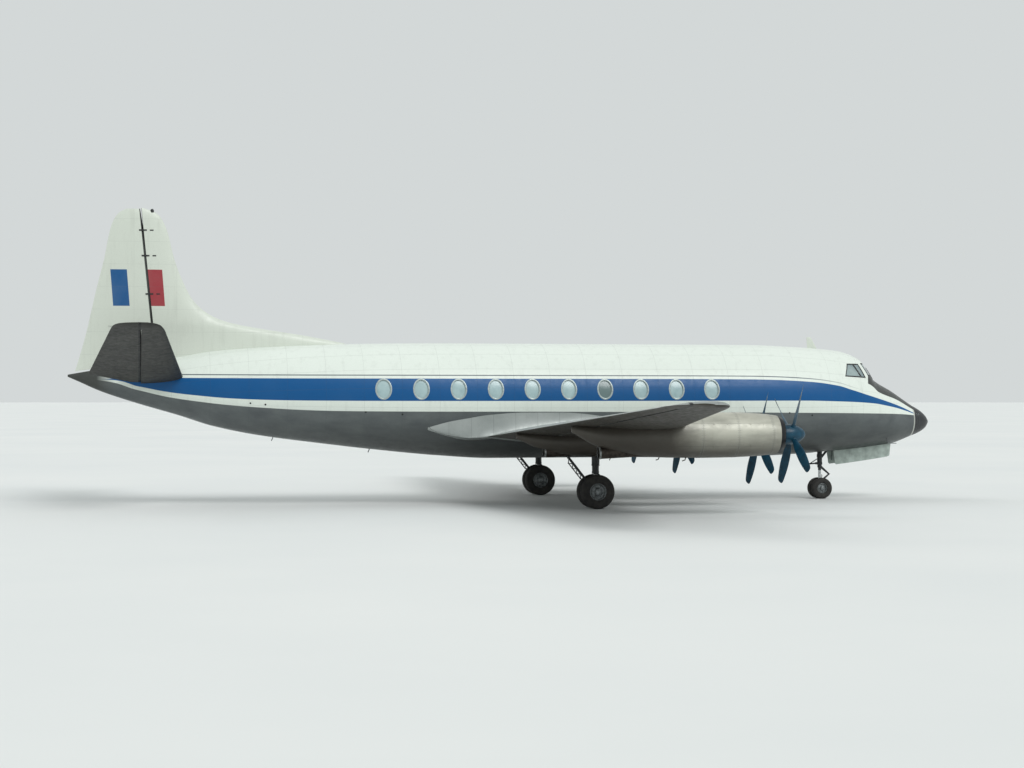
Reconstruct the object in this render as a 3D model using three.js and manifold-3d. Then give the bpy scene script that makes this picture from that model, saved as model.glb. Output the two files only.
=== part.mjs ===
// Four-engined turboprop airliner standing on its landing gear.
// Millimetres, +X towards the nose, +Y to port, +Z up. The origin is on the ground
// under the middle of the aircraft's length and span.
import * as THREE from 'three';
import { mergeVertices } from 'three/addons/utils/BufferGeometryUtils.js';
import Module from 'manifold-3d';

const wasm = await Module();
wasm.setup();

// Driving dimensions
const LENGTH = 24930;
const SPAN = 28560;
const NOSE_AHEAD = 11060; // nose tip, ahead of the main wheels
const MAIN_GEAR_X = LENGTH / 2 - NOSE_AHEAD;
const SEAM = 0.3; // gap kept between pieces that meet
const MOVING_GAP = 8; // gap around a piece that moves
const CABIN_RADIUS = 1625;

const PAINT_WHITE = { color: 0xe9ece8, roughness: 0.35, metalness: 0 };
const BARE_METAL = { color: 0x9a9c9b, roughness: 0.38, metalness: 0.8 };
const DARK_METAL = { color: 0x3d4043, roughness: 0.5, metalness: 0.7 };
const RADOME_BLACK = { color: 0x141517, roughness: 0.45, metalness: 0 };
const PROP_BLUE = { color: 0x17465c, roughness: 0.4, metalness: 0.3 };
const GEAR_GREY = { color: 0x8b9092, roughness: 0.5, metalness: 0.4 };
const RUBBER = { color: 0x1a1a1b, roughness: 0.85, metalness: 0 };
const GLASS = { color: 0x1d262c, roughness: 0.08, metalness: 0 };

const airliner = new THREE.Group();

// Distances in the tables are counted ahead of the main wheels.
function ahead(distance) {
  return MAIN_GEAR_X + distance;
}

function interpolate(from, to, share) {
  return from + (to - from) * share;
}

// Smooth value of one column of a table at a place along its first column. Slopes are
// limited so that the curve never swings past the table's own values.
function smoothColumn(table, column, at) {
  const rows = [...table].sort((a, b) => a[0] - b[0]);
  const last = rows.length - 1;
  if (at <= rows[0][0]) return rows[0][column];
  if (at >= rows[last][0]) return rows[last][column];
  const grade = rows.slice(1).map((row, i) => (row[column] - rows[i][column]) / (row[0] - rows[i][0]));
  const slope = rows.map((row, i) => {
    if (i === 0) return grade[0];
    if (i === last) return grade[last - 1];
    const product = grade[i - 1] * grade[i];
    return product <= 0 ? 0 : (2 * product) / (grade[i - 1] + grade[i]);
  });
  const i = rows.findIndex((row) => row[0] > at) - 1;
  const step = rows[i + 1][0] - rows[i][0];
  const t = (at - rows[i][0]) / step;
  const blend = t * t * (3 - 2 * t);
  const lean = (t - 2 * t * t + t * t * t) * slope[i] + (t * t * t - t * t) * slope[i + 1];
  return interpolate(rows[i][column], rows[i + 1][column], blend) + lean * step;
}

function signedVolume(points, faces) {
  return faces.reduce((sum, [a, b, c]) => sum + points[a].dot(points[b].clone().cross(points[c])), 0);
}

// Solid of a closed skin, with every face turned outwards
function closedSolid(points, faces) {
  const outward = signedVolume(points, faces) > 0;
  return new wasm.Manifold(new wasm.Mesh({
    numProp: 3,
    vertProperties: new Float32Array(points.flatMap((p) => [p.x, p.y, p.z])),
    triVerts: new Uint32Array(faces.flatMap(([a, b, c]) => (outward ? [a, b, c] : [a, c, b]))),
  }));
}

// Closed skin through rings of points. A ring of one point is a tip.
function loft(rings) {
  const points = [];
  const starts = rings.map((ring) => points.push(...ring) - ring.length);
  const faces = [];
  for (let i = 0; i + 1 < rings.length; i += 1) {
    const count = Math.max(rings[i].length, rings[i + 1].length);
    for (let j = 0; j < count; j += 1) {
      const next = (j + 1) % count;
      const [here, there] = [rings[i].length, rings[i + 1].length];
      const a = starts[i] + (j % here);
      const b = starts[i] + (next % here);
      const c = starts[i + 1] + (next % there);
      const d = starts[i + 1] + (j % there);
      // The diagonal is mirrored to starboard, so both halves have the same facets.
      const port = points[a].y + points[b].y >= 0;
      if (a !== b) faces.push(port ? [a, b, d] : [a, b, c]);
      if (c !== d) faces.push(port ? [b, c, d] : [a, c, d]);
    }
  }
  for (const [end, turned] of [[0, true], [rings.length - 1, false]]) {
    const ring = rings[end];
    if (ring.length === 1) continue;
    const centre = ring.reduce((sum, p) => sum.add(p), new THREE.Vector3()).divideScalar(ring.length);
    const hub = points.push(centre) - 1;
    for (let j = 0; j < ring.length; j += 1) {
      const a = starts[end] + j;
      const b = starts[end] + ((j + 1) % ring.length);
      faces.push(turned ? [b, a, hub] : [a, b, hub]);
    }
  }
  return closedSolid(points, faces);
}

function toSolid(geometry) {
  const bare = geometry.clone();
  bare.deleteAttribute('normal');
  bare.deleteAttribute('uv');
  const merged = mergeVertices(bare, 0.001);
  const place = merged.attributes.position;
  const points = [];
  for (let i = 0; i < place.count; i += 1) points.push(new THREE.Vector3().fromBufferAttribute(place, i));
  const faces = [];
  for (let i = 0; i < merged.index.count; i += 3) faces.push([0, 1, 2].map((k) => merged.index.getX(i + k)));
  return closedSolid(points, faces);
}

function box(from, to) {
  const size = to.map((value, i) => value - from[i]);
  const middle = to.map((value, i) => (value + from[i]) / 2);
  return toSolid(new THREE.BoxGeometry(...size).translate(...middle));
}

// Round bar between two points, with its own radius at each end.
function bar(from, to, radius, endRadius = radius, sides = 12) {
  const start = new THREE.Vector3(...from);
  const way = new THREE.Vector3(...to).sub(start);
  const geometry = new THREE.CylinderGeometry(endRadius, radius, way.length(), sides);
  geometry.translate(0, way.length() / 2, 0);
  const turn = new THREE.Quaternion().setFromUnitVectors(new THREE.Vector3(0, 1, 0), way.normalize());
  return toSolid(geometry.applyQuaternion(turn).translate(...from));
}

// Turned piece: profile rows are [radius, place along the axis].
function turned(profile, axis, centre, segments) {
  const outline = profile.map(([radius, along]) => new THREE.Vector2(radius, along));
  const geometry = new THREE.LatheGeometry(outline, segments);
  if (axis === 'x') geometry.rotateZ(-Math.PI / 2);
  if (axis === 'z') geometry.rotateX(Math.PI / 2);
  return toSolid(geometry.translate(...centre));
}

function join(solids) {
  return solids.reduce((whole, solid) => whole.add(solid));
}

function mirrored(solid) {
  const mesh = solid.getMesh();
  const flipped = mesh.vertProperties.map((value, i) => (i % mesh.numProp === 1 ? -value : value));
  const index = mesh.triVerts.map((value, i, all) => all[i - (i % 3) + (2 - (i % 3))]);
  return new wasm.Manifold(new wasm.Mesh({ numProp: mesh.numProp, vertProperties: flipped, triVerts: index }));
}

function addPiece(name, solid, finish) {
  const mesh = solid.getMesh();
  const geometry = new THREE.BufferGeometry();
  geometry.setAttribute('position', new THREE.BufferAttribute(mesh.vertProperties, 3));
  geometry.setIndex(new THREE.BufferAttribute(mesh.triVerts, 1));
  geometry.computeVertexNormals();
  const piece = new THREE.Mesh(geometry, new THREE.MeshStandardMaterial(finish));
  piece.name = name;
  airliner.add(piece);
}

function addPair(name, leftSolid, finish) {
  addPiece(`${name}_left`, leftSolid, finish);
  addPiece(`${name}_right`, mirrored(leftSolid), finish);
}

// Fuselage
// Columns: ahead of the main wheels, top, bottom, half width, height of the widest point
const FUSELAGE = [
  [11060, 2300, 2200, 50, 2250],
  [10960, 2440, 2060, 190, 2252],
  [10780, 2590, 1940, 320, 2262],
  [10480, 2760, 1820, 465, 2290],
  [9850, 3160, 1600, 800, 2380],
  [9170, 3570, 1505, 1080, 2480],
  [8960, 3900, 1480, 1150, 2510],
  [8770, 4130, 1460, 1205, 2540],
  [8160, 4340, 1400, 1350, 2630],
  [6860, 4445, 1310, 1540, 2780],
  [5400, 4500, 1250, 1625, 2875],
  [-2200, 4500, 1250, 1625, 2875],
  [-3700, 4498, 1335, 1600, 2900],
  [-5400, 4480, 1500, 1520, 2970],
  [-7000, 4440, 1690, 1375, 3050],
  [-8760, 4360, 1930, 1130, 3150],
  [-10000, 4250, 2190, 915, 3230],
  [-10900, 4090, 2480, 735, 3300],
  [-12050, 3880, 2820, 480, 3380],
  [-13000, 3740, 3140, 265, 3450],
  [-13600, 3640, 3410, 110, 3530],
  [-13870, 3590, 3530, 30, 3560],
];
const SKIN_SIDES = 32;
const LINING_SIDES = 16; // sides of the walls inside
const RADOME_BASE = 10480;
const NOSE_JOINT = 4700;
const TAIL_JOINT = -6000;
const TAIL_TIP = -13870;

function fuselageRing(at, grow, sides) {
  const [top, bottom, halfWidth, middle] = [1, 2, 3, 4].map((column) => smoothColumn(FUSELAGE, column, at));
  const ring = [];
  for (let i = 0; i < sides; i += 1) {
    const angle = (2 * Math.PI * i) / sides;
    const reach = Math.sin(angle) > 0 ? top - middle : middle - bottom;
    const side = (halfWidth + grow) * Math.cos(angle);
    ring.push(new THREE.Vector3(ahead(at), side, middle + (reach + grow) * Math.sin(angle)));
  }
  return ring;
}

function fuselageStations(front, back) {
  const places = [...FUSELAGE.map((row) => row[0]), TAIL_JOINT].sort((a, b) => b - a);
  return [front, ...places.filter((at) => at < front && at > back), back];
}

function fuselageSolid(front, back, grow = 0, sides = SKIN_SIDES) {
  return loft(fuselageStations(front, back).map((at) => fuselageRing(at, grow, sides)));
}

const FUSELAGE_CUTTER = fuselageSolid(NOSE_AHEAD, TAIL_TIP, SEAM);

// Cockpit glazing: a band of panes that wraps round the front of the cabin roof
const GLASS_THICKNESS = 24;
// Columns: ahead of the main wheels, height; the band's outline seen from the side
const GLAZING_OUTLINE = [[9175, 3560], [8930, 4010], [8820, 4080], [7960, 4080], [7960, 3700], [8640, 3560]];
const GLAZING_MIDDLE = { at: 8600, height: 3800, reach: 200 }; // a grown band scales about its middle

function glazingBand(grow) {
  const outline = new THREE.Shape(GLAZING_OUTLINE.map(([at, height]) => new THREE.Vector2(ahead(at), height)));
  const width = 4 * CABIN_RADIUS;
  const band = new THREE.ExtrudeGeometry(outline, { depth: width, bevelEnabled: false });
  const centre = new THREE.Vector3(ahead(GLAZING_MIDDLE.at), 0, GLAZING_MIDDLE.height);
  band.translate(0, 0, -width / 2).rotateX(Math.PI / 2);
  const scale = 1 + grow / GLAZING_MIDDLE.reach;
  band.translate(-centre.x, 0, -centre.z).scale(scale, 1, scale).translate(centre.x, 0, centre.z);
  return toSolid(band);
}

// Passenger doors on the port side
const WALL = 110; // cabin wall around the entrance hall
const DOOR = { width: 860, height: 1600, middle: 2860, thickness: 70, deep: 350, taper: 0.25, sides: 20 };
// Columns: name, middle of the door ahead of the main wheels
const DOORS = [['door_front', 5900], ['door_rear', -7050]];
const VESTIBULE_DEPTH = 620;
// The rear door leads into an entrance hall across the cabin, and a hatch in the hall's
// bulkhead into the empty tail cone.
const HALL = { front: -6250, back: -7850, port: 1130, starboard: -1130, floor: 2040, ceiling: 4050 };
const TAIL_CONE = { front: -7950, back: -12500, hatchWidth: 700, hatchFloor: 2150, hatchTop: 3700 };
const DOOR_PROUD = 150; // how far the door's outline is drawn outside the skin
const DOOR_FOOT = 50; // how far it runs on past the door's inside

// Oval plug that narrows inwards as far as the door is deep, then runs straight on
function doorPlug(at, grow, inside) {
  const skin = skinHalfWidth(at);
  const out = skin + DOOR_PROUD;
  const ring = (y) => {
    const inset = Math.min(skin - y, DOOR.deep) * DOOR.taper;
    return Array.from({ length: DOOR.sides }, (_, i) => {
      const angle = (2 * Math.PI * i) / DOOR.sides;
      const x = ahead(at) + (DOOR.width / 2 + grow - inset) * Math.cos(angle);
      return new THREE.Vector3(x, y, DOOR.middle + (DOOR.height / 2 + grow - inset) * Math.sin(angle));
    });
  };
  return loft([inside, skin - DOOR.deep, out].map(ring));
}

function doorSolid(at) {
  const shell = fuselageSolid(at + DOOR.width, at - DOOR.width)
    .subtract(fuselageSolid(at + DOOR.width + 1, at - DOOR.width - 1, -DOOR.thickness));
  return shell.intersect(doorPlug(at, 0, skinHalfWidth(at) - DOOR.deep - DOOR_FOOT));
}

function skinHalfWidth(at) {
  return smoothColumn(FUSELAGE, 3, at);
}

function doorway(at) {
  return doorPlug(at, MOVING_GAP, skinHalfWidth(at) - VESTIBULE_DEPTH);
}

function rearHall() {
  const inside = fuselageSolid(HALL.front + DOOR.width, HALL.back - DOOR.width, -WALL, LINING_SIDES);
  const room = box([ahead(HALL.back), HALL.starboard, HALL.floor], [ahead(HALL.front), HALL.port, HALL.ceiling]);
  return room.intersect(inside).add(doorway(DOORS[1][1]));
}

function tailCone() {
  const { front, back, hatchWidth, hatchFloor, hatchTop } = TAIL_CONE;
  const hatch = box([ahead(front) - WALL, -hatchWidth / 2, hatchFloor],
    [ahead(HALL.back) + WALL, hatchWidth / 2, hatchTop]);
  return fuselageSolid(front, back, -WALL, LINING_SIDES).add(hatch);
}

// Round pad with a flat face for a lifting jack, under the skin at a given height
const JACK_PAD = { radius: 70, drop: 45, root: 150, sides: 20 };
const NOSE_JACK = 6600;

function jackPad(x, y, skin) {
  const { radius, drop, root, sides } = JACK_PAD;
  return bar([x, y, skin - drop], [x, y, skin + root], radius, radius, sides);
}

// Nose gear bay
const NOSE_GEAR = { at: 7680, wheelRadius: 305, tyreWidth: 195, spacing: 160, bayTop: 1980 };
const NOSE_BAY = { front: 9800, back: 7420, halfWidth: 250, low: 800 };

function noseBay() {
  return box([ahead(NOSE_BAY.back), -NOSE_BAY.halfWidth, NOSE_BAY.low],
    [ahead(NOSE_BAY.front), NOSE_BAY.halfWidth, NOSE_GEAR.bayTop]);
}

function buildFuselage() {
  addPiece('radome', fuselageSolid(NOSE_AHEAD, RADOME_BASE + SEAM), RADOME_BLACK);

  const nose = fuselageSolid(RADOME_BASE, NOSE_JOINT + SEAM);
  const innerNose = fuselageSolid(RADOME_BASE, NOSE_JOINT, -GLASS_THICKNESS);
  const innerNoseCut = fuselageSolid(RADOME_BASE, NOSE_JOINT, -GLASS_THICKNESS - SEAM);
  const glazing = glazingBand(0).intersect(nose.subtract(innerNose));
  const glazingCut = glazingBand(SEAM).subtract(innerNoseCut);
  addPiece('cockpit_glazing', glazing, GLASS);
  const jack = jackPad(ahead(NOSE_JACK), 0, smoothColumn(FUSELAGE, 2, NOSE_JACK));
  const cuts = join([glazingCut, noseBay(), doorway(DOORS[0][1])]);
  addPiece('fuselage_nose', nose.add(jack).subtract(cuts), PAINT_WHITE);

  addPiece('fuselage_centre', fuselageSolid(NOSE_JOINT, TAIL_JOINT + SEAM), PAINT_WHITE);
  const rear = fuselageSolid(TAIL_JOINT, TAIL_TIP).subtract(rearHall()).subtract(tailCone());
  addPiece('fuselage_rear', rear, PAINT_WHITE);
  for (const [name, at] of DOORS) addPiece(name, doorSolid(at), PAINT_WHITE);
}

// Flying surfaces
const PROFILE_STEPS = 8;
const TRAILING_EDGE = 5; // half thickness of a trailing edge

// Half thickness of the section as a share of its chord
function halfThickness(share, ratio) {
  const x = Math.min(Math.max(share, 0), 1);
  const series = 0.2969 * Math.sqrt(x) - 0.126 * x - 0.3516 * x ** 2 + 0.2843 * x ** 3 - 0.1036 * x ** 4;
  return 5 * ratio * series;
}

function camberLine(share, camber) {
  return 4 * camber * share * (1 - share);
}

// A surface has rows of [span, leading edge, trailing edge, thickness ratio], with edges
// ahead of the main wheels, and place() puts an offset from its mid plane in space.
const WING = {
  rows: [
    [300, 2310, -2740, 0.155],
    [13500, 530, -950, 0.13],
    [13950, 420, -900, 0.125],
    [14180, 250, -820, 0.11],
    [SPAN / 2, 0, -640, 0.06],
  ],
  camber: 0.018,
  hinge: [[1500, -1380], [14000, -560]],
  hingeParts: 1,
  place: (x, offset, span) => new THREE.Vector3(x, span, WING_ROOT_Z + span * WING_DIHEDRAL + offset),
};
const WING_ROOT_Z = 1770;
const WING_DIHEDRAL = Math.tan(THREE.MathUtils.degToRad(4.2));

const ELEVATOR_HINGE = -11980;
const TAILPLANE = {
  rows: [
    [60, -10720, -13440, 0.11],
    [4900, -11330, -12690, 0.1],
    [5350, -11440, -12600, 0.095],
    [5530, -11600, -12480, 0.08],
    [5600, -11840, -12300, 0.05],
  ],
  camber: 0,
  hinge: [[400, ELEVATOR_HINGE], [5500, ELEVATOR_HINGE]],
  hingeParts: 1,
  place: (x, offset, span) => new THREE.Vector3(x, span, TAILPLANE_ROOT_Z + span * TAILPLANE_DIHEDRAL + offset),
};
const TAILPLANE_ROOT_Z = 3350;
const TAILPLANE_DIHEDRAL = Math.tan(THREE.MathUtils.degToRad(14.5));

const FIN = {
  rows: [
    [3500, -6300, -13730, 0.045],
    [4520, -6500, -13430, 0.048],
    [4700, -7500, -13385, 0.055],
    [4850, -8500, -13350, 0.065],
    [5020, -9450, -13310, 0.082],
    [5170, -9900, -13280, 0.092],
    [5450, -10330, -13215, 0.105],
    [5800, -10610, -13140, 0.11],
    [6780, -11020, -12900, 0.11],
    [7500, -11200, -12760, 0.11],
    [7850, -11350, -12640, 0.11],
    [8050, -11540, -12480, 0.1],
    [8160, -11850, -12250, 0.06],
  ],
  camber: 0,
  hinge: [[3700, -11516], [8140, -11960]],
  hingeParts: 4,
  place: (x, offset, span) => new THREE.Vector3(x, offset, span),
};

function edges(surface, span) {
  const rows = surface.rows;
  const found = rows.findIndex((row) => row[0] > span);
  const upper = Math.min(Math.max(found < 0 ? rows.length - 1 : found, 1), rows.length - 1);
  const [low, high] = [rows[upper - 1], rows[upper]];
  const share = (span - low[0]) / (high[0] - low[0]);
  return [1, 2, 3].map((column) => interpolate(low[column], high[column], share));
}

function sectionRing(surface, span, grow) {
  const [lead, trail, ratio] = edges(surface, span);
  const chord = lead - trail;
  const ring = [];
  for (let i = 0; i <= 2 * PROFILE_STEPS; i += 1) {
    const share = (1 + Math.cos((Math.PI * i) / PROFILE_STEPS)) / 2;
    const side = i <= PROFILE_STEPS ? 1 : -1;
    const x = ahead(lead - share * chord) + grow * (1 - 2 * share);
    const skin = i === PROFILE_STEPS ? 0 : grow;
    const thick = halfThickness(share, ratio) * chord + TRAILING_EDGE * share + skin;
    ring.push(surface.place(x, camberLine(share, surface.camber) * chord + side * thick, span));
  }
  return ring;
}

function surfaceSolid(surface, grow = 0) {
  return loft(surface.rows.map((row) => sectionRing(surface, row[0], grow)));
}

function hingeAt(surface, span) {
  const [[spanA, xA], [spanB, xB]] = surface.hinge;
  return interpolate(xA, xB, (span - spanA) / (spanB - spanA));
}

function hingeRadius(surface, span) {
  const [lead, trail, ratio] = edges(surface, span);
  const share = (lead - hingeAt(surface, span)) / (lead - trail);
  return halfThickness(share, ratio) * (lead - trail) + TRAILING_EDGE * share;
}

// Ends of a surface's straight hinge line, on its mid plane
function hingeEnds(surface) {
  return surface.hinge.map(([span, x]) => {
    const [lead, trail] = edges(surface, span);
    const share = (lead - x) / (lead - trail);
    return surface.place(ahead(x), camberLine(share, surface.camber) * (lead - trail), span);
  });
}

function hingePoint(surface, span) {
  const [start, end] = hingeEnds(surface);
  const [[spanA], [spanB]] = surface.hinge;
  return start.lerp(end, (span - spanA) / (spanB - spanA));
}

// Slides points along the span until they lie in the plane square to the hinge line
function squareToHinge(surface, span, points) {
  const [start, end] = hingeEnds(surface);
  const axis = end.sub(start).normalize();
  const centre = hingePoint(surface, span);
  const way = surface.place(0, 0, 1).sub(surface.place(0, 0, 0));
  return points.map((point) => {
    return point.addScaledVector(way, centre.clone().sub(point).dot(axis) / way.dot(axis));
  });
}

function along(from, to, parts) {
  return Array.from({ length: parts + 1 }, (_, i) => interpolate(from, to, i / parts));
}

const NOSE_INSET = 1; // how far a round nose stops short of the end of its moving surface
const HINGE_SIDES = 16;
const HINGE_CUT = 600; // reach of a cut above, below and behind a surface

// Round nose of a moving surface, about its hinge line
function hingeNose(surface, from, to, extra) {
  return loft(along(from + NOSE_INSET, to - NOSE_INSET, surface.hingeParts).map((span) => {
    const centre = hingePoint(surface, span);
    const radius = hingeRadius(surface, span) + extra;
    const origin = surface.place(0, 0, span);
    const out = surface.place(0, 1, span).sub(origin);
    const rim = Array.from({ length: HINGE_SIDES }, (_, i) => {
      const angle = (2 * Math.PI * i) / HINGE_SIDES;
      const point = centre.clone().addScaledVector(out, radius * Math.sin(angle));
      return point.add(new THREE.Vector3(radius * Math.cos(angle), 0, 0));
    });
    return squareToHinge(surface, span, rim);
  }));
}

// Everything behind the hinge line between two places along the span
function behindHinge(surface, from, to, lead) {
  return loft([from, to].map((span) => {
    const front = ahead(hingeAt(surface, span)) + lead;
    const rear = ahead(edges(surface, Math.min(span, SPAN / 2))[1]) - HINGE_CUT;
    const corners = [[front, HINGE_CUT], [rear, HINGE_CUT], [rear, -HINGE_CUT], [front, -HINGE_CUT]]
      .map(([x, offset]) => surface.place(x, offset, span));
    return squareToHinge(surface, span, corners);
  }));
}

const NOSE_STEP = 4; // how far a moving surface's round nose stands below its skin

// A moving surface and the cut that leaves it free to swing by its largest angle
function movingSurface(surface, whole, from, to, swing) {
  const [inner, outer] = [from + MOVING_GAP, to - MOVING_GAP];
  const nose = hingeNose(surface, inner, outer, -NOSE_STEP);
  const moving = whole.intersect(behindHinge(surface, inner, outer, -2 * NOSE_STEP)).add(nose);
  const radius = Math.max(hingeRadius(surface, from), hingeRadius(surface, to));
  const lip = radius * Math.sin(THREE.MathUtils.degToRad(swing)) + MOVING_GAP;
  const cut = behindHinge(surface, from, to, lip).add(hingeNose(surface, from, to, MOVING_GAP));
  return { moving, cut };
}

// Columns: name, inner end, outer end, largest swing in degrees
const WING_MOVERS = [
  ['flap_inner', 1700, 3080, 40],
  ['flap_middle', 4180, 6870, 40],
  ['flap_outer', 7730, 9120, 40],
  ['aileron', 9200, 13450, 20],
];
const WING_JACK = { span: 5450, at: 200 };

function wingJackPad() {
  const [lead, trail, ratio] = edges(WING, WING_JACK.span);
  const share = (lead - WING_JACK.at) / (lead - trail);
  const skin = WING.place(0, -halfThickness(share, ratio) * (lead - trail), WING_JACK.span).z;
  return jackPad(ahead(WING_JACK.at), WING_JACK.span, skin);
}

// Fillet between the cabin's side and the wing's upper face, drawn out behind the wing.
// Its root lies inside the cabin wall.
const FILLET = {
  // Columns: ahead of the main wheels, top on the skin, span of the outer edge, its height
  rows: [
    [1900, 2100, 1640, 2080],
    [1000, 2400, 1665, 2290],
    [-500, 2550, 1685, 2200],
    [-1500, 2550, 1685, 2080],
    [-2550, 2480, 1680, 1888],
    [-3040, 2400, 1560, 1870],
    [-3600, 2300, 1440, 1950],
    [-4180, 2140, 1345, 2090],
  ],
  arcSteps: 5,
  edge: 12, // thickness of its outer edge
  inside: 1000, // span of its root
  rootDrop: 110, // how far the root lies below the outer edge
};

function skinSide(at, height) {
  const [top, bottom, halfWidth, middle] = [1, 2, 3, 4].map((column) => smoothColumn(FUSELAGE, column, at));
  const reach = height > middle ? top - middle : middle - bottom;
  return halfWidth * Math.sqrt(1 - ((height - middle) / reach) ** 2);
}

function rootFillet() {
  return loft(FILLET.rows.map(([at, top, span, height]) => {
    const point = (y, z) => new THREE.Vector3(ahead(at), y, z);
    const reach = span - skinSide(at, top);
    const arc = along(0, Math.PI / 2, FILLET.arcSteps).map((angle) => {
      return point(span - reach * Math.cos(angle), top - (top - height) * Math.sin(angle));
    });
    return [point(FILLET.inside, top), ...arc, point(span, height - FILLET.edge),
      point(FILLET.inside, height - FILLET.rootDrop)];
  }));
}

function buildWing() {
  const whole = surfaceSolid(WING).subtract(FUSELAGE_CUTTER);
  let wing = join([surfaceSolid(WING), rootFillet()]).subtract(FUSELAGE_CUTTER).add(wingJackPad());
  for (const [name, from, to, swing] of WING_MOVERS) {
    const { moving, cut } = movingSurface(WING, whole, from, to, swing);
    addPair(name, moving, BARE_METAL);
    wing = wing.subtract(cut);
  }
  addPair('wing', wing, BARE_METAL);
}

// The elevator's inner end slants away from the rudder's path
const ELEVATOR = { inner: 570, innerTrailing: 1000, outer: 5200, swing: 25, rootFrom: -200, rootLip: 60 };
// Room that the rudder swings through: from behind the elevator's hinge to past the tail
const RUDDER_ROOM = { behindHinge: 120, back: -14200, spread: 330, over: -10, low: 2500, high: 5000 };

function buildTailplane() {
  const whole = surfaceSolid(TAILPLANE).subtract(FUSELAGE_CUTTER);
  const { moving, cut } = movingSurface(TAILPLANE, whole, ELEVATOR.inner, ELEVATOR.outer, ELEVATOR.swing);
  const slant = rudderPath();
  addPair('elevator', moving.subtract(slant), DARK_METAL);
  const root = behindHinge(TAILPLANE, ELEVATOR.rootFrom, ELEVATOR.inner + 1, ELEVATOR.rootLip);
  addPair('tailplane', whole.subtract(cut).subtract(root), DARK_METAL);
}

function rudderPath() {
  const { behindHinge: behind, back, spread, over, low, high } = RUDDER_ROOM;
  const [hinge, rear] = [ahead(ELEVATOR_HINGE) - behind, ahead(back)];
  const reach = ELEVATOR.innerTrailing + spread;
  const corners = [[hinge, over], [hinge, ELEVATOR.inner], [rear, reach], [rear, over]];
  return loft([low, high].map((z) => corners.map(([x, y]) => new THREE.Vector3(x, y, z))));
}

// The rudder's lower edge slants. Its box holds the cuts that end it below and above.
const RUDDER = { from: 3560, bottomFront: 4070, bottomRear: 3630, top: 8160, rise: 60, swing: 22 };
const RUDDER_BOX = { front: -11000, back: -14000, low: 2500, side: 500, crown: 20 };

function buildFin() {
  const fin = surfaceSolid(FIN).subtract(FUSELAGE_CUTTER);
  const reach = RUDDER.top + RUDDER.rise;
  const { moving, cut } = movingSurface(FIN, surfaceSolid(FIN), RUDDER.from, reach, RUDDER.swing);
  const { low, side, crown } = RUDDER_BOX;
  const [front, rear] = [ahead(RUDDER_BOX.front), ahead(RUDDER_BOX.back)];
  const lower = [[front, low], [front, RUDDER.bottomFront], [rear, RUDDER.bottomRear], [rear, low]];
  const under = loft([-side, side].map((y) => lower.map(([x, z]) => new THREE.Vector3(x, y, z))));
  const overTop = box([rear, -side, RUDDER.top - crown], [front, side, RUDDER.top + side]);
  addPiece('rudder', moving.subtract(under).subtract(overTop), PAINT_WHITE);
  addPiece('fin', fin.subtract(cut), PAINT_WHITE);
}

// Engines
const PROP = {
  radius: 1525,
  blades: 4,
  rootRadius: 150,
  spinnerRadius: 262,
  spinnerLength: 610,
  spinnerBack: 245, // from the spinner's base to the blades' plane
  spinnerBase: 0.97, // the base's radius, as a share
  spinnerPoint: 2.1, // how blunt its curve is
  spinnerSteps: 5,
  shaftIn: 120, // how far the shaft runs back into the gearcase
  planeOut: 290, // from the nacelle's lip to the blades' plane
};
const INTAKE = { radius: 372, depth: 420, flare: 26, flareFrom: 60, past: 50 };
const ENGINE = {
  radius: 430,
  length: 1900,
  shoulder: 70,
  frontInset: 15, // from the intake's wall to the block's front edge
  gearcase: 190,
  gearcaseNose: 0.8, // the gearcase's front radius, as a share
  shaft: 45,
  shaftPlay: 4,
  noseGap: 12, // from the gearcase to the spinner's base
  boreDepth: 140,
};
const JET_SIDES = 16;
// Columns of rows: ahead of the main wheels, top, bottom, half width
const NACELLES = {
  inner: {
    span: 3630,
    lip: 4250,
    thrust: 1850,
    jet: { front: [-300, 1610], back: [-1420, 1540] },
    rows: [
      [4250, 2275, 1425, 425],
      [4130, 2325, 1395, 478],
      [3700, 2385, 1375, 535],
      [2900, 2430, 1365, 570],
      [1900, 2425, 1360, 575],
      [900, 2380, 1370, 570],
      [100, 2300, 1385, 545],
      [-500, 2200, 1410, 480],
      [-1000, 2110, 1460, 390],
      [-1500, 2060, 1590, 270],
      [-2100, 2020, 1850, 80],
    ],
  },
  outer: {
    span: 7300,
    lip: 3900,
    thrust: 2040,
    jet: { front: [300, 1680], back: [-830, 1610] },
    rows: [
      [3900, 2465, 1615, 425],
      [3780, 2515, 1560, 478],
      [3300, 2570, 1505, 530],
      [2600, 2600, 1470, 560],
      [1800, 2600, 1460, 560],
      [1000, 2570, 1470, 545],
      [300, 2500, 1510, 490],
      [-400, 2390, 1610, 390],
      [-900, 2310, 1770, 290],
      [-1450, 2280, 2080, 110],
    ],
  },
};
const JET_PIPE = { radius: 175, endRadius: 164.5, bore: 140, depth: 320, wayOut: 700 };
const NACELLE_SIDES = 20;

function nacelleOuter(nacelle, grow) {
  const rings = nacelle.rows.map(([at, top, bottom, halfWidth]) => {
    const middle = (top + bottom) / 2;
    return Array.from({ length: NACELLE_SIDES }, (_, i) => {
      const angle = (2 * Math.PI * i) / NACELLE_SIDES;
      const y = nacelle.span + (halfWidth + grow) * Math.cos(angle);
      return new THREE.Vector3(ahead(at), y, middle + ((top - bottom) / 2 + grow) * Math.sin(angle));
    });
  });
  return loft(rings);
}

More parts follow.
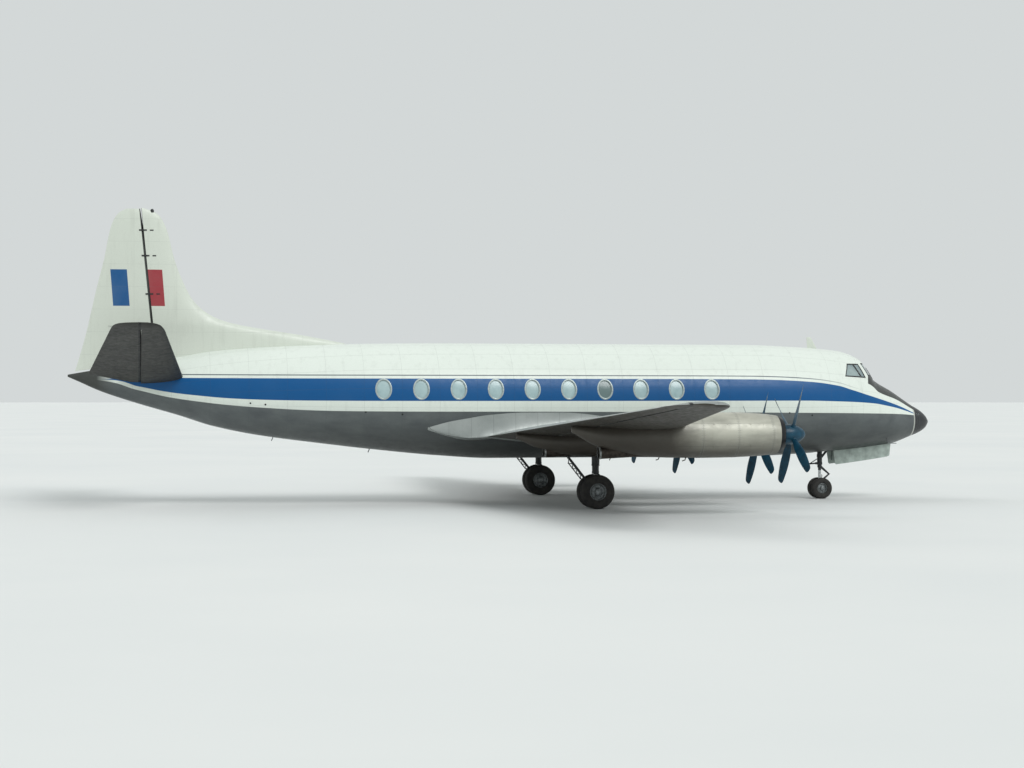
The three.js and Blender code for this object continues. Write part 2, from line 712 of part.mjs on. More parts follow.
function engineBlock(nacelle) {
  const front = ahead(nacelle.lip - INTAKE.depth);
  const nose = PROP.planeOut - PROP.spinnerBack + INTAKE.depth - ENGINE.noseGap;
  const bore = ENGINE.shaft + ENGINE.shaftPlay;
  const deep = nose + ENGINE.noseGap - ENGINE.boreDepth;
  const profile = [
    [0, -ENGINE.length],
    [ENGINE.radius, -ENGINE.length],
    [ENGINE.radius, -ENGINE.shoulder],
    [INTAKE.radius - ENGINE.frontInset, 0],
    [ENGINE.gearcase, 0],
    [ENGINE.gearcase * ENGINE.gearcaseNose, nose],
    [bore, nose],
    [bore, deep],
    [0, deep],
  ];
  return turned(profile, 'x', [front, nacelle.span, nacelle.thrust], NACELLE_SIDES);
}

function engineBay(nacelle) {
  const back = -ENGINE.length - SEAM;
  const lip = INTAKE.depth + INTAKE.past;
  const profile = [
    [0, back],
    [ENGINE.radius + SEAM, back],
    [ENGINE.radius + SEAM, 0],
    [INTAKE.radius, 0],
    [INTAKE.radius, INTAKE.depth - INTAKE.flareFrom],
    [INTAKE.radius + INTAKE.flare, lip],
    [0, lip],
  ];
  return turned(profile, 'x', [ahead(nacelle.lip - INTAKE.depth), nacelle.span, nacelle.thrust], NACELLE_SIDES);
}

function jetPipeEnds(nacelle) {
  const { front, back } = nacelle.jet;
  return [front, back].map(([at, z]) => new THREE.Vector3(ahead(at), nacelle.span, z));
}

// The pipe's bore, and the way out behind it through the nacelle's underside
function jetBore(nacelle) {
  const [start, end] = jetPipeEnds(nacelle);
  const way = end.clone().sub(start).normalize();
  const mouth = end.clone().addScaledVector(way, -JET_PIPE.depth);
  const past = end.clone().addScaledVector(way, JET_PIPE.wayOut);
  return bar(mouth.toArray(), past.toArray(), JET_PIPE.bore, JET_PIPE.bore, JET_SIDES);
}

function jetPipeOuter(nacelle, grow) {
  const [start, end] = jetPipeEnds(nacelle);
  return bar(start.toArray(), end.toArray(), JET_PIPE.radius + grow, JET_PIPE.endRadius + grow, JET_SIDES);
}

function jetPipe(nacelle) {
  const pipe = jetPipeOuter(nacelle, 0);
  return pipe.subtract(jetBore(nacelle));
}

// Blade rows are [radius, chord, thickness, twist in degrees from the disc]
const BLADE = [
  [PROP.rootRadius, 96, 90, 62],
  [330, 130, 62, 56],
  [620, 215, 32, 44],
  [1000, 255, 21, 33],
  [1400, 205, 13, 26],
  [PROP.radius, 110, 8, 24],
];

const BLADE_SIDES = 8;

function bladeRing([radius, chord, thickness, twist]) {
  const turn = THREE.MathUtils.degToRad(twist);
  return Array.from({ length: BLADE_SIDES }, (_, i) => {
    const angle = (2 * Math.PI * i) / BLADE_SIDES;
    const [u, w] = [(chord / 2) * Math.cos(angle), (thickness / 2) * Math.sin(angle)];
    const forward = u * Math.sin(turn) + w * Math.cos(turn);
    return new THREE.Vector3(forward, u * Math.cos(turn) - w * Math.sin(turn), radius);
  });
}

// Propellers turn clockwise seen from behind and stand at 35 degrees, as parked.
const PROP_PARKED = 35;

function propeller(nacelle) {
  const base = -PROP.spinnerBack;
  const tip = base + PROP.spinnerLength;
  const nose = along(0, 1, PROP.spinnerSteps).map((share) => {
    return [PROP.spinnerRadius * Math.sqrt(1 - share ** PROP.spinnerPoint), interpolate(0, tip, share)];
  });
  const profile = [
    [0, base - PROP.shaftIn],
    [ENGINE.shaft, base - PROP.shaftIn],
    [ENGINE.shaft, base],
    [PROP.spinnerRadius * PROP.spinnerBase, base],
    ...nose,
  ];
  const spinner = turned(profile, 'x', [0, 0, 0], NACELLE_SIDES);
  const blade = loft(BLADE.map(bladeRing));
  const blades = Array.from({ length: PROP.blades }, (_, i) => {
    return blade.rotate([PROP_PARKED + (360 * i) / PROP.blades, 0, 0]);
  });
  const disc = ahead(nacelle.lip + PROP.planeOut);
  return join([spinner, ...blades]).translate([disc, nacelle.span, nacelle.thrust]);
}

function buildEngines() {
  const wingCutter = surfaceSolid(WING, SEAM);
  for (const [name, nacelle] of Object.entries(NACELLES)) {
    const skin = nacelleOuter(nacelle, 0).subtract(wingCutter).subtract(engineBay(nacelle))
      .subtract(jetBore(nacelle));
    const pipe = jetPipe(nacelle).subtract(nacelleOuter(nacelle, SEAM)).subtract(wingCutter);
    addPair(`nacelle_${name}`, skin, BARE_METAL);
    addPair(`engine_${name}`, engineBlock(nacelle), DARK_METAL);
    addPair(`jet_pipe_${name}`, pipe, DARK_METAL);
    const left = propeller(nacelle);
    addPiece(`propeller_${name}_left`, left, PROP_BLUE);
    addPiece(`propeller_${name}_right`, left.translate([0, -2 * nacelle.span, 0]), PROP_BLUE);
  }
}

// Landing gear
// spacing runs from the leg's middle to each wheel's middle
const MAIN_GEAR = { span: 3630, wheelRadius: 457, tyreWidth: 270, spacing: 215, rimRadius: 228, axle: 45 };
const NOSE_WHEELS = { ...NOSE_GEAR, rimRadius: 150, axle: 32 };
const TYRE_SIDES = 32;
const AXLE_SIDES = 16;
const AXLE_PLAY = 1;
const TYRE_ROOM = 20; // between a tyre and what carries its axle
// Shares are of the tyre's width, the rim's radius and the web's radius
const HUB = {
  halfWidth: 0.36,
  web: 0.35,
  cap: 0.9,
  lip: 0.87,
  dish: 0.8,
  dishDepth: 45,
  webDepth: 25,
  capOut: 22,
};

function tyre(gear, centre) {
  const half = gear.tyreWidth / 2;
  const rim = gear.rimRadius + SEAM;
  const depth = gear.wheelRadius - rim;
  // Columns: share of the tyre's depth, share of its half width
  const side = [[0, 0.75], [0.4, 1], [0.8, 0.9], [1, 0.45]];
  const port = side.map(([deep, wide]) => [rim + deep * depth, wide * half]);
  const starboard = port.map(([radius, y]) => [radius, -y]);
  const profile = [...starboard, ...port.reverse(), starboard[0]];
  return turned(profile, 'y', centre, TYRE_SIDES);
}

// Two rims on one axle, turned about the axle
function hubs(gear, centre) {
  const half = gear.tyreWidth * HUB.halfWidth;
  const [inner, outer] = [gear.spacing - half, gear.spacing + half];
  const web = gear.rimRadius * HUB.web;
  const side = [
    [gear.axle, inner],
    [gear.rimRadius, inner],
    [gear.rimRadius, outer],
    [gear.rimRadius * HUB.lip, outer],
    [gear.rimRadius * HUB.dish, outer - HUB.dishDepth],
    [web, outer - HUB.webDepth],
    [web * HUB.cap, outer + HUB.capOut],
    [0, outer + HUB.capOut],
  ];
  const back = [...side].reverse().map(([radius, y]) => [radius, -y]);
  return turned([...back, ...side], 'y', centre, AXLE_SIDES);
}

// Housing between twin wheels, bored for the axle
function axleHousing(gear, centre, radius) {
  const half = gear.spacing - gear.tyreWidth / 2 - TYRE_ROOM;
  const bore = gear.axle + AXLE_PLAY;
  const profile = [[bore, -half], [radius, -half], [radius, half], [bore, half], [bore, -half]];
  return turned(profile, 'y', centre, AXLE_SIDES);
}

function axleBore(gear, centre) {
  const half = gear.spacing;
  const [x, y, z] = centre;
  const radius = gear.axle + AXLE_PLAY;
  return bar([x, y - half, z], [x, y + half, z], radius, radius, AXLE_SIDES);
}

// Columns: radius, height; the main leg's steps from the axle up
const MAIN_LEG = [[52, 457], [52, 860], [58, 900], [92, 940], [92, 1150], [104, 1170], [104, 1700]];
const MAIN_HOUSING = 86; // radius of the housing between the wheels
const MAIN_LINKS = { top: 960, bottom: 640, reach: 190 };
const LEG_SIDES = 16;
const LINK = { root: 24, knee: 18, inset: 20, sides: 6 };
// The brace's lower and upper ends are counted from the leg, aft and up from the ground
const BRACE = {
  low: [50, 500],
  high: [830, 1482],
  radius: 34,
  sides: 10,
  trussFrom: 0.3, // where the truss behind the rod begins and ends, as shares of its length
  trussTo: 0.86,
  depth: 95,
  bays: 4,
  chordRadius: 15,
  webRadius: 11,
  trussSides: 6,
};

function mainLegColumn(grow) {
  const steps = MAIN_LEG.map(([radius, z]) => [radius + grow, z]);
  const profile = [[0, steps[0][1]], ...steps, [0, steps[steps.length - 1][1]]];
  return turned(profile, 'z', [ahead(0), MAIN_GEAR.span, 0], LEG_SIDES);
}

// The links' knee points ahead of the leg
function torqueLinks(x, y, { top, bottom, reach }) {
  const knee = [x + reach, y, (top + bottom) / 2];
  return join([top, bottom].map((z) => bar([x + LINK.inset, y, z], knee, LINK.root, LINK.knee, LINK.sides)));
}

// A rod that runs up and aft from the axle's housing to the nacelle, with a flat truss behind it
function dragBrace() {
  const { low, high, trussFrom, trussTo, bays, trussSides } = BRACE;
  const run = [high[0] - low[0], high[1] - low[1]];
  const length = Math.hypot(...run);
  const spot = (share, back) => [
    ahead(0) - low[0] - share * run[0] - (back * run[1]) / length,
    MAIN_GEAR.span,
    low[1] + share * run[1] - (back * run[0]) / length,
  ];
  const rod = bar(spot(0, 0), spot(1, 0), BRACE.radius, BRACE.radius, BRACE.sides);
  const step = (trussTo - trussFrom) / bays;
  const onRod = along(trussFrom, trussTo, bays).map((share) => spot(share, 0));
  const behind = along(trussFrom + step / 2, trussTo - step / 2, bays - 1).map((share) => spot(share, BRACE.depth));
  const thin = (from, to, radius) => bar(from, to, radius, radius, trussSides);
  const webs = behind.flatMap((node, i) => [onRod[i], onRod[i + 1]].map((end) => thin(end, node, BRACE.webRadius)));
  return join([rod, thin(behind[0], behind[bays - 1], BRACE.chordRadius), ...webs]);
}

function buildMainGear() {
  const centre = [ahead(0), MAIN_GEAR.span, MAIN_GEAR.wheelRadius];
  const nacelleCutter = nacelleOuter(NACELLES.inner, SEAM);
  const links = torqueLinks(ahead(0), MAIN_GEAR.span, MAIN_LINKS);
  const leg = join([mainLegColumn(0), axleHousing(MAIN_GEAR, centre, MAIN_HOUSING), links])
    .subtract(axleBore(MAIN_GEAR, centre)).subtract(nacelleCutter);
  addPair('main_leg', leg, GEAR_GREY);
  const legRoom = join([mainLegColumn(SEAM), axleHousing(MAIN_GEAR, centre, MAIN_HOUSING + SEAM)]);
  const pipeRoom = jetPipeOuter(NACELLES.inner, SEAM);
  const brace = dragBrace().subtract(legRoom).subtract(nacelleCutter).subtract(pipeRoom);
  addPair('main_drag_brace', brace, GEAR_GREY);
  addPair('main_hubs', hubs(MAIN_GEAR, centre), GEAR_GREY);
  for (const [name, side] of [['main_tyre_outer', 1], ['main_tyre_inner', -1]]) {
    const place = [centre[0], centre[1] + side * MAIN_GEAR.spacing, centre[2]];
    addPair(name, tyre(MAIN_GEAR, place), RUBBER);
  }
}

// The fork's pin turns inside the leg's bore; heights are counted from the leg's lower end
const NOSE_LEG = { radius: 72, bottom: 990, bore: 130, play: 1 };
const NOSE_STAY = { inset: 40, reach: 700, low: 1190, over: 60, radius: 34, sides: 10 };
const NOSE_FORK = {
  low: 330,
  radius: 46,
  shoulder: 60,
  collar: 62,
  collarLow: 50,
  gap: 5,
  pin: 34,
  pinTop: 110,
};
const NOSE_HOUSING = 60;
const NOSE_LINKS = { top: 930, bottom: 500, reach: 290 };

function noseLeg(x, top) {
  const { radius, bottom, bore, play } = NOSE_LEG;
  const inner = NOSE_FORK.pin + play;
  const strut = [
    [inner, bottom + bore],
    [inner, bottom],
    [radius, bottom],
    [radius, top],
    [0, top],
    [0, bottom + bore],
    [inner, bottom + bore],
  ];
  const { inset, reach, low, over, radius: rodRadius, sides } = NOSE_STAY;
  const rod = bar([x + inset, 0, low], [x + reach, 0, top + over], rodRadius, rodRadius, sides);
  const roof = box([x - reach, -reach, top], [x + 2 * reach, reach, top + reach]);
  return turned(strut, 'z', [x, 0, 0], LEG_SIDES).add(rod.subtract(roof));
}

function noseFork(x, centre) {
  const { low, radius, shoulder, collar, collarLow, gap, pin, pinTop } = NOSE_FORK;
  const leg = NOSE_LEG.bottom;
  const column = [
    [0, low],
    [radius, low],
    [radius, leg - shoulder],
    [collar, leg - collarLow],
    [collar, leg - gap],
    [pin, leg - gap],
    [pin, leg + pinTop],
    [0, leg + pinTop],
  ];
  return join([
    turned(column, 'z', [x, 0, 0], LEG_SIDES),
    axleHousing(NOSE_WHEELS, centre, NOSE_HOUSING),
    torqueLinks(x, 0, NOSE_LINKS),
  ]).subtract(axleBore(NOSE_WHEELS, centre));
}

function buildNoseGear() {
  const x = ahead(NOSE_GEAR.at);
  const centre = [x, 0, NOSE_GEAR.wheelRadius];
  addPiece('nose_leg', noseLeg(x, NOSE_GEAR.bayTop - SEAM), GEAR_GREY);
  addPiece('nose_fork', noseFork(x, centre), GEAR_GREY);
  addPiece('nose_hubs', hubs(NOSE_WHEELS, centre), GEAR_GREY);
  for (const [name, side] of [['nose_tyre_left', 1], ['nose_tyre_right', -1]]) {
    addPiece(name, tyre(NOSE_WHEELS, [x, side * NOSE_GEAR.spacing, NOSE_GEAR.wheelRadius]), RUBBER);
  }
  addPair('nose_gear_door', noseGearDoor(), PAINT_WHITE);
}

// The door hangs from just outside the bay's edge; its lower edge slopes and slants at both ends
const NOSE_DOOR = {
  front: 9780,
  back: 8000,
  drop: 400,
  backDrop: 450,
  thick: 26,
  out: 12,
  tuck: 60,
  frontIn: 40,
  backIn: 60,
};

// A plate that hangs from the bay's edge, its top edge following the belly
function noseGearDoor() {
  const door = NOSE_DOOR;
  const y = NOSE_BAY.halfWidth + door.out;
  const belly = (at) => smoothColumn(FUSELAGE, 2, at) + door.tuck;
  const corners = [
    [door.back, belly(door.back)],
    [door.front, belly(door.front)],
    [door.front - door.frontIn, belly(door.front) - door.drop],
    [door.back + door.backIn, belly(door.back) - door.backDrop],
  ];
  const face = (side) => corners.map(([at, z]) => new THREE.Vector3(ahead(at), side, z));
  return loft([face(y), face(y + door.thick)]).subtract(FUSELAGE_CUTTER);
}

const MAST = { at: 7450, height: 330, root: 80, chord: 300, tipChord: 135, sweep: 110, thick: 36, sides: 12 };

function buildMast() {
  const base = smoothColumn(FUSELAGE, 1, MAST.at) - MAST.root;
  const ring = (z, chord, back) => {
    return Array.from({ length: MAST.sides }, (_, i) => {
      const angle = (2 * Math.PI * i) / MAST.sides;
      const x = ahead(MAST.at) - back + (chord / 2) * Math.cos(angle);
      return new THREE.Vector3(x, (MAST.thick / 2) * Math.sin(angle), z);
    });
  };
  const top = base + MAST.height + MAST.root;
  const mast = loft([ring(base, MAST.chord, 0), ring(top, MAST.tipChord, MAST.sweep)]);
  addPiece('aerial_mast', mast.subtract(FUSELAGE_CUTTER), PAINT_WHITE);
}

buildFuselage();
buildWing();
buildTailplane();
buildFin();
buildEngines();
buildMainGear();
buildNoseGear();
buildMast();

export default airliner;
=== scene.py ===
"""Looks of a four-engined turboprop airliner that stands on its landing gear."""
import math

import bmesh
import bpy
import numpy as np
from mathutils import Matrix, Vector


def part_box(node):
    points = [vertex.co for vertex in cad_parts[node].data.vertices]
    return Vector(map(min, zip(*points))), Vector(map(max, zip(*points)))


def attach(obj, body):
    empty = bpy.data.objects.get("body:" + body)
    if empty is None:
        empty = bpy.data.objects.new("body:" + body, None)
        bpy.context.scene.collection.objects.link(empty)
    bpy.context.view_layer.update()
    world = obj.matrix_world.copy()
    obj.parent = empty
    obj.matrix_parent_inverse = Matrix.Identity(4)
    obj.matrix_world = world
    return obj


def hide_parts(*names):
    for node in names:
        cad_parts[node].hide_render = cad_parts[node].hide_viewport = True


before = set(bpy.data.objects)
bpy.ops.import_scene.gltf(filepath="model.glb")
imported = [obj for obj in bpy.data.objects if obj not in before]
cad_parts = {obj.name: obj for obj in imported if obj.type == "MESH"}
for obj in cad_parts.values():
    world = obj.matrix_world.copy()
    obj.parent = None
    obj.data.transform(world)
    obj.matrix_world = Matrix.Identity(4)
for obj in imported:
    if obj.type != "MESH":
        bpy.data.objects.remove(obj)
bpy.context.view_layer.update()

# Driving sizes in metres. +X towards the nose, +Y to port, +Z up.
# "Ahead" distances are counted ahead of the main wheels.
MAIN_X = sum(corner.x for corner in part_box("main_tyre_outer_left")) / 2
SEAM = 0.0003
MOVING_GAP = 0.008
SKIN_SIDES = 128
SKIN_STEP = 0.11
SIDES = {"left": 1, "right": -1}


def ahead(distance):
    return MAIN_X + distance


def turns(count):
    """Angles that share out a full turn."""
    return [2 * math.pi * i / count for i in range(count)]


def circle(radius, count):
    return [(radius * math.cos(turn), radius * math.sin(turn)) for turn in turns(count)]


def smooth(table, column):
    """Curve through one column of a table over its first column, never past the table's own values."""
    rows = sorted(table)
    x = np.array([row[0] for row in rows], float)
    y = np.array([row[column] for row in rows], float)
    grade = np.diff(y) / np.diff(x)
    slope = np.zeros(len(x))
    slope[0], slope[-1] = grade[0], grade[-1]
    product = grade[:-1] * grade[1:]
    total = np.where(product > 0, grade[:-1] + grade[1:], 1)
    slope[1:-1] = np.where(product > 0, 2 * product / total, 0)

    def value(at):
        at = np.clip(at, x[0], x[-1])
        i = np.clip(np.searchsorted(x, at, side="right") - 1, 0, len(x) - 2)
        step = x[i + 1] - x[i]
        t = (at - x[i]) / step
        blend = t * t * (3 - 2 * t)
        lean = (t - 2 * t**2 + t**3) * slope[i] + (t**3 - t**2) * slope[i + 1]
        return y[i] + (y[i + 1] - y[i]) * blend + lean * step

    return value


def sections(table):
    """The curves through a table's second to fourth columns, as one function that gives all three values."""
    curves = [smooth(table, column) for column in (1, 2, 3)]
    return lambda at: [float(curve(at)) for curve in curves]


# Meshes


class Shape:
    """Points and faces gathered for one mesh."""

    def __init__(self):
        self.points = []
        self.faces = []

    def skin(self, rings, closed=False):
        """Quads between rings of points. The ends are capped, or joined to each other if it is closed."""
        start, count = len(self.points), len(rings[0])
        for ring in rings:
            self.points.extend(tuple(p) for p in ring)
        total = len(rings)
        for i in range(total if closed else total - 1):
            a, b = start + i * count, start + (i + 1) % total * count
            for j in range(count):
                k = (j + 1) % count
                self.faces.append((a + j, a + k, b + k, b + j))
        if not closed:
            self.faces.append(tuple(start + j for j in reversed(range(count))))
            self.faces.append(tuple(start + (total - 1) * count + j for j in range(count)))
        return self

    def lathe(self, profile, axis, centre, steps, closed=False):
        """Turned piece. Profile rows are (radius, place along the axis)."""
        rings = []
        for radius, along in profile:
            ring = []
            for u, v in circle(radius, steps):
                spot = {"x": (along, u, v), "y": (v, along, u), "z": (u, v, along)}[axis]
                ring.append([c + s for c, s in zip(centre, spot)])
            rings.append(ring)
        return self.skin(rings, closed=closed)

    def tube(self, path, radius, sides):
        """Round bar along a path. Radius is one number or one for each point."""
        path = [Vector(p) for p in path]
        radii = [radius] * len(path) if isinstance(radius, (int, float)) else radius
        rings = []
        side = None
        for i, point in enumerate(path):
            before, after = path[max(i - 1, 0)], path[min(i + 1, len(path) - 1)]
            way = (after - before).normalized()
            if side is None:
                side = way.orthogonal().normalized()
            side = (side - way * side.dot(way)).normalized()
            other = way.cross(side)
            rings.append([point + (side * math.cos(turn) + other * math.sin(turn)) * radii[i]
                          for turn in turns(sides)])
        return self.skin(rings)

    def block(self, low, high, bevel=0.0):
        """Box between two corners, its upright edges cut off by the bevel."""
        (x0, y0, z0), (x1, y1, z1) = low, high
        b = bevel
        outline = [(x0 + b, y0), (x1 - b, y0), (x1, y0 + b), (x1, y1 - b), (x1 - b, y1), (x0 + b, y1),
                   (x0, y1 - b), (x0, y0 + b)] if b else [(x0, y0), (x1, y0), (x1, y1), (x0, y1)]
        return self.skin([[(x, y, z) for x, y in outline] for z in (z0, z1)])

    def plate(self, outline, across, low, high):
        """Flat plate of an outline of two-number points, its thickness across 'y' or 'z'."""
        return self.skin([[(u, w, v) if across == "y" else (u, v, w) for u, v in outline]
                          for w in (low, high)])

    def object(self, name):
        mesh = bpy.data.meshes.new(name)
        mesh.from_pydata([tuple(map(float, p)) for p in self.points], [], self.faces)
        work = bmesh.new()
        work.from_mesh(mesh)
        bmesh.ops.remove_doubles(work, verts=work.verts, dist=1e-6)
        bmesh.ops.recalc_face_normals(work, faces=work.faces)
        work.to_mesh(mesh)
        work.free()
        made = bpy.data.objects.new(name, mesh)
        bpy.context.scene.collection.objects.link(made)
        return made


def evaluated_mesh(thing):
    """The mesh that an object's modifiers leave."""
    graph = bpy.context.evaluated_depsgraph_get()
    graph.update()
    return bpy.data.meshes.new_from_object(thing.evaluated_get(graph))


def boolean(thing, other, operation, keep=False):
    """Cuts, joins or crosses a mesh with another. The other one is used up unless it is kept."""
    change = thing.modifiers.new("shape", "BOOLEAN")
    change.operation = operation
    change.solver = "MANIFOLD"
    change.object = other
    result = evaluated_mesh(thing)
    thing.modifiers.remove(change)
    old, thing.data = thing.data, result
    bpy.data.meshes.remove(old)
    if not keep:
        discard(other)
    return thing


def discard(thing):
    mesh = thing.data
    bpy.data.objects.remove(thing)
    bpy.data.meshes.remove(mesh)


def copy_of(thing, name, mirror=False):
    made = bpy.data.objects.new(name, thing.data.copy())
    bpy.context.scene.collection.objects.link(made)
    if mirror:
        places = np.zeros(len(made.data.vertices) * 3, np.float32)
        made.data.vertices.foreach_get("co", places)
        places[1::3] *= -1
        made.data.vertices.foreach_set("co", places)
        made.data.flip_normals()
    return made


SHARP_EDGE = math.radians(32)


def as_object(thing, name):
    return thing.object(name) if isinstance(thing, Shape) else thing


def finish_piece(thing, name, finish, replaces=(), body="airframe"):
    """Names a piece, gives it its finish and smooth faces, and lets it ride on its body."""
    thing = as_object(thing, name)
    thing.name = name
    mesh = thing.data
    mesh.name = name
    mesh.materials.clear()
    mesh.materials.append(MATERIALS[finish])
    mesh.shade_smooth()
    mesh.set_sharp_from_angle(angle=SHARP_EDGE)
    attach(thing, body)
    if replaces:
        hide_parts(*replaces)


def finish_pair(thing, name, finish, replaces=(), body="airframe"):
    """A port piece and its mirror image. A body's name takes _left and _right, but for the airframe."""
    thing = as_object(thing, name)
    other = copy_of(thing, name + "_right_form", mirror=True)
    for piece, side in ((thing, "left"), (other, "right")):
        rides = body if body == "airframe" else f"{body}_{side}"
        nodes = [f"{node}_{side}" for node in replaces]
        finish_piece(piece, f"{name}_{side}", finish, nodes, rides)


# Materials


def linear(code):
    """Colour of a hexadecimal code as the shader's own numbers."""
    parts = [(code >> shift & 255) / 255 for shift in (16, 8, 0)]
    return [p / 12.92 if p <= 0.04045 else ((p + 0.055) / 1.055) ** 2.4 for p in parts] + [1.0]


def add_node(tree, kind, inputs, **settings):
    """A node with its settings. Each input is linked to a socket or set to a value."""
    made = tree.nodes.new(kind)
    for key, value in settings.items():
        setattr(made, key, value)
    for key, value in inputs.items():
        if isinstance(value, bpy.types.NodeSocket):
            tree.links.new(value, made.inputs[key])
        else:
            made.inputs[key].default_value = value
    return made


class Finish:
    """A material being made. Each short call adds a node and gives back its output."""

    def __init__(self, name, metallic=0.0, roughness=0.4, coat=0.0, specular=0.5):
        self.material = bpy.data.materials.new(name)
        self.material.use_nodes = True
        self.tree = self.material.node_tree
        self.shader = self.tree.nodes["Principled BSDF"]
        self.shader.inputs["Metallic"].default_value = metallic
        self.shader.inputs["Roughness"].default_value = roughness
        self.shader.inputs["Coat Weight"].default_value = coat
        self.shader.inputs["Specular IOR Level"].default_value = specular
        self.shader.inputs["Coat Roughness"].default_value = 0.12
        coordinates = self.tree.nodes.new("ShaderNodeTexCoord")
        self.place = coordinates.outputs["Object"]
        self.facing = coordinates.outputs["Normal"]
        self.x, self.y, self.z = self.split(self.place)

    def node(self, kind, inputs, **settings):
        return add_node(self.tree, kind, inputs, **settings).outputs[0]

    def split(self, vector):
        return tuple(add_node(self.tree, "ShaderNodeSeparateXYZ", {0: vector}).outputs)

    def math(self, operation, *values):
        return self.node("ShaderNodeMath", dict(enumerate(values)), operation=operation)

    def ramp(self, value, low, high, start=0.0, end=1.0):
        """Value carried from low..high to start..end, held at both ends."""
        inputs = {"Value": value, "From Min": low, "From Max": high, "To Min": start, "To Max": end}
        return self.node("ShaderNodeMapRange", inputs)

    def above(self, value, edge, soft=0.004):
        """1 where a value is over an edge, 0 below it."""
        return self.ramp(self.math("SUBTRACT", value, edge), -soft, soft)

    def below(self, value, edge):
        """1 where a value is under an edge, 0 over it."""
        return self.math("SUBTRACT", 1.0, self.above(value, edge))

    def inside(self, value, middle, half, soft=0.004):
        """1 within half a width of the middle."""
        away = self.math("ABSOLUTE", self.math("SUBTRACT", value, middle))
        return self.ramp(away, half + soft, half - soft)

    def both(self, *masks):
        product = masks[0]
        for mask in masks[1:]:
            product = self.math("MULTIPLY", product, mask)
        return product

    def either(self, *masks):
        most = masks[0]
        for mask in masks[1:]:
            most = self.math("MAXIMUM", most, mask)
        return most

    def noise(self, scale, stretch=(1, 1, 1), detail=4.0, rough=0.55):
        mapped = self.node("ShaderNodeMapping", {"Vector": self.place, "Scale": stretch})
        inputs = {"Vector": mapped, "Scale": scale, "Detail": detail, "Roughness": rough}
        return self.node("ShaderNodeTexNoise", inputs)

    def mix(self, share, first, second):
        inputs = {0: share, 6: first, 7: second}
        return add_node(self.tree, "ShaderNodeMix", inputs, data_type="RGBA").outputs[2]

    def edge(self, table):
        """Height of a painted edge at this place along the fuselage. Rows are (ahead, height)."""
        table = sorted(table)
        front, back = ahead(table[-1][0]), ahead(table[0][0])
        heights = [row[1] for row in table]
        low, high = min(heights) - 0.1, max(heights) + 0.1
        made = add_node(self.tree, "ShaderNodeFloatCurve", {"Value": self.ramp(self.x, back, front)})
        points = made.mapping.curves[0].points
        for i, (at, height) in enumerate(table):
            spot = ((ahead(at) - back) / (front - back), (height - low) / (high - low))
            if i in (0, len(table) - 1):
                points[0 if i == 0 else -1].location = spot
            else:
                points.new(*spot)
        for point in points:
            point.handle_type = "AUTO_CLAMPED"
        made.mapping.update()
        return self.ramp(made.outputs[0], 0, 1, low, high)

    def lines(self, value, pitch, width, offset=0.0):
        """1 on thin lines that come every pitch of a value."""
        moved = self.math("ADD", value, offset)
        half = self.math("PINGPONG", moved, pitch / 2)
        return self.ramp(half, width, width * 0.35)

    def colour(self, value):
        self.link("Base Color", value)

    def link(self, key, value):
        if isinstance(value, bpy.types.NodeSocket):
            self.tree.links.new(value, self.shader.inputs[key])
        else:
            self.shader.inputs[key].default_value = value

    def gloss(self, scale, low, high):
        """Roughness that wanders from low to high in patches."""
        self.link("Roughness", self.ramp(self.noise(scale), 0.3, 0.7, low, high))

    def bump(self, height, depth, strength):
        inputs = {"Height": height, "Distance": depth, "Strength": strength}
        self.link("Normal", self.node("ShaderNodeBump", inputs))


# Nacelles. Columns of rows: ahead of the main wheels, top, bottom, half width
NACELLES = {
    "inner": {
        "span": 3.63, "lip": 4.25, "thrust": 1.85, "jet": [(-0.3, 1.61), (-1.42, 1.54)],
        "rows": [(4.25, 2.275, 1.425, 0.425), (4.13, 2.325, 1.395, 0.478), (3.7, 2.385, 1.375, 0.535),
                 (2.9, 2.430, 1.365, 0.570), (1.9, 2.425, 1.360, 0.575), (0.9, 2.380, 1.370, 0.570),
                 (0.1, 2.300, 1.385, 0.545), (-0.5, 2.200, 1.410, 0.480), (-1.0, 2.110, 1.460, 0.390),
                 (-1.5, 2.060, 1.590, 0.270), (-2.1, 2.020, 1.850, 0.080)],
    },
    "outer": {
        "span": 7.3, "lip": 3.9, "thrust": 2.04, "jet": [(0.3, 1.68), (-0.83, 1.61)],
        "rows": [(3.9, 2.465, 1.615, 0.425), (3.78, 2.515, 1.560, 0.478), (3.3, 2.570, 1.505, 0.530),
                 (2.6, 2.600, 1.470, 0.560), (1.8, 2.600, 1.460, 0.560), (1.0, 2.570, 1.470, 0.545),
                 (0.3, 2.500, 1.510, 0.490), (-0.4, 2.390, 1.610, 0.390), (-0.9, 2.310, 1.770, 0.290),
                 (-1.45, 2.280, 2.080, 0.110)],
    },
}
COWL_RINGS = [0.34, 1.26, 2.18]  # the cowling's seams, counted back from the lip

WHITE, PALE, BLUE, RED = linear(0xDDE4DC), linear(0xC9D2C9), linear(0x005088), linear(0x97202F)
BELLY, DARK_LINE, SOOT, GRIME = linear(0x6A6F70), linear(0x4A5560), linear(0x17181A), linear(0x5F5D52)
GAP = linear(0x131415)  # the shade inside a hinge gap

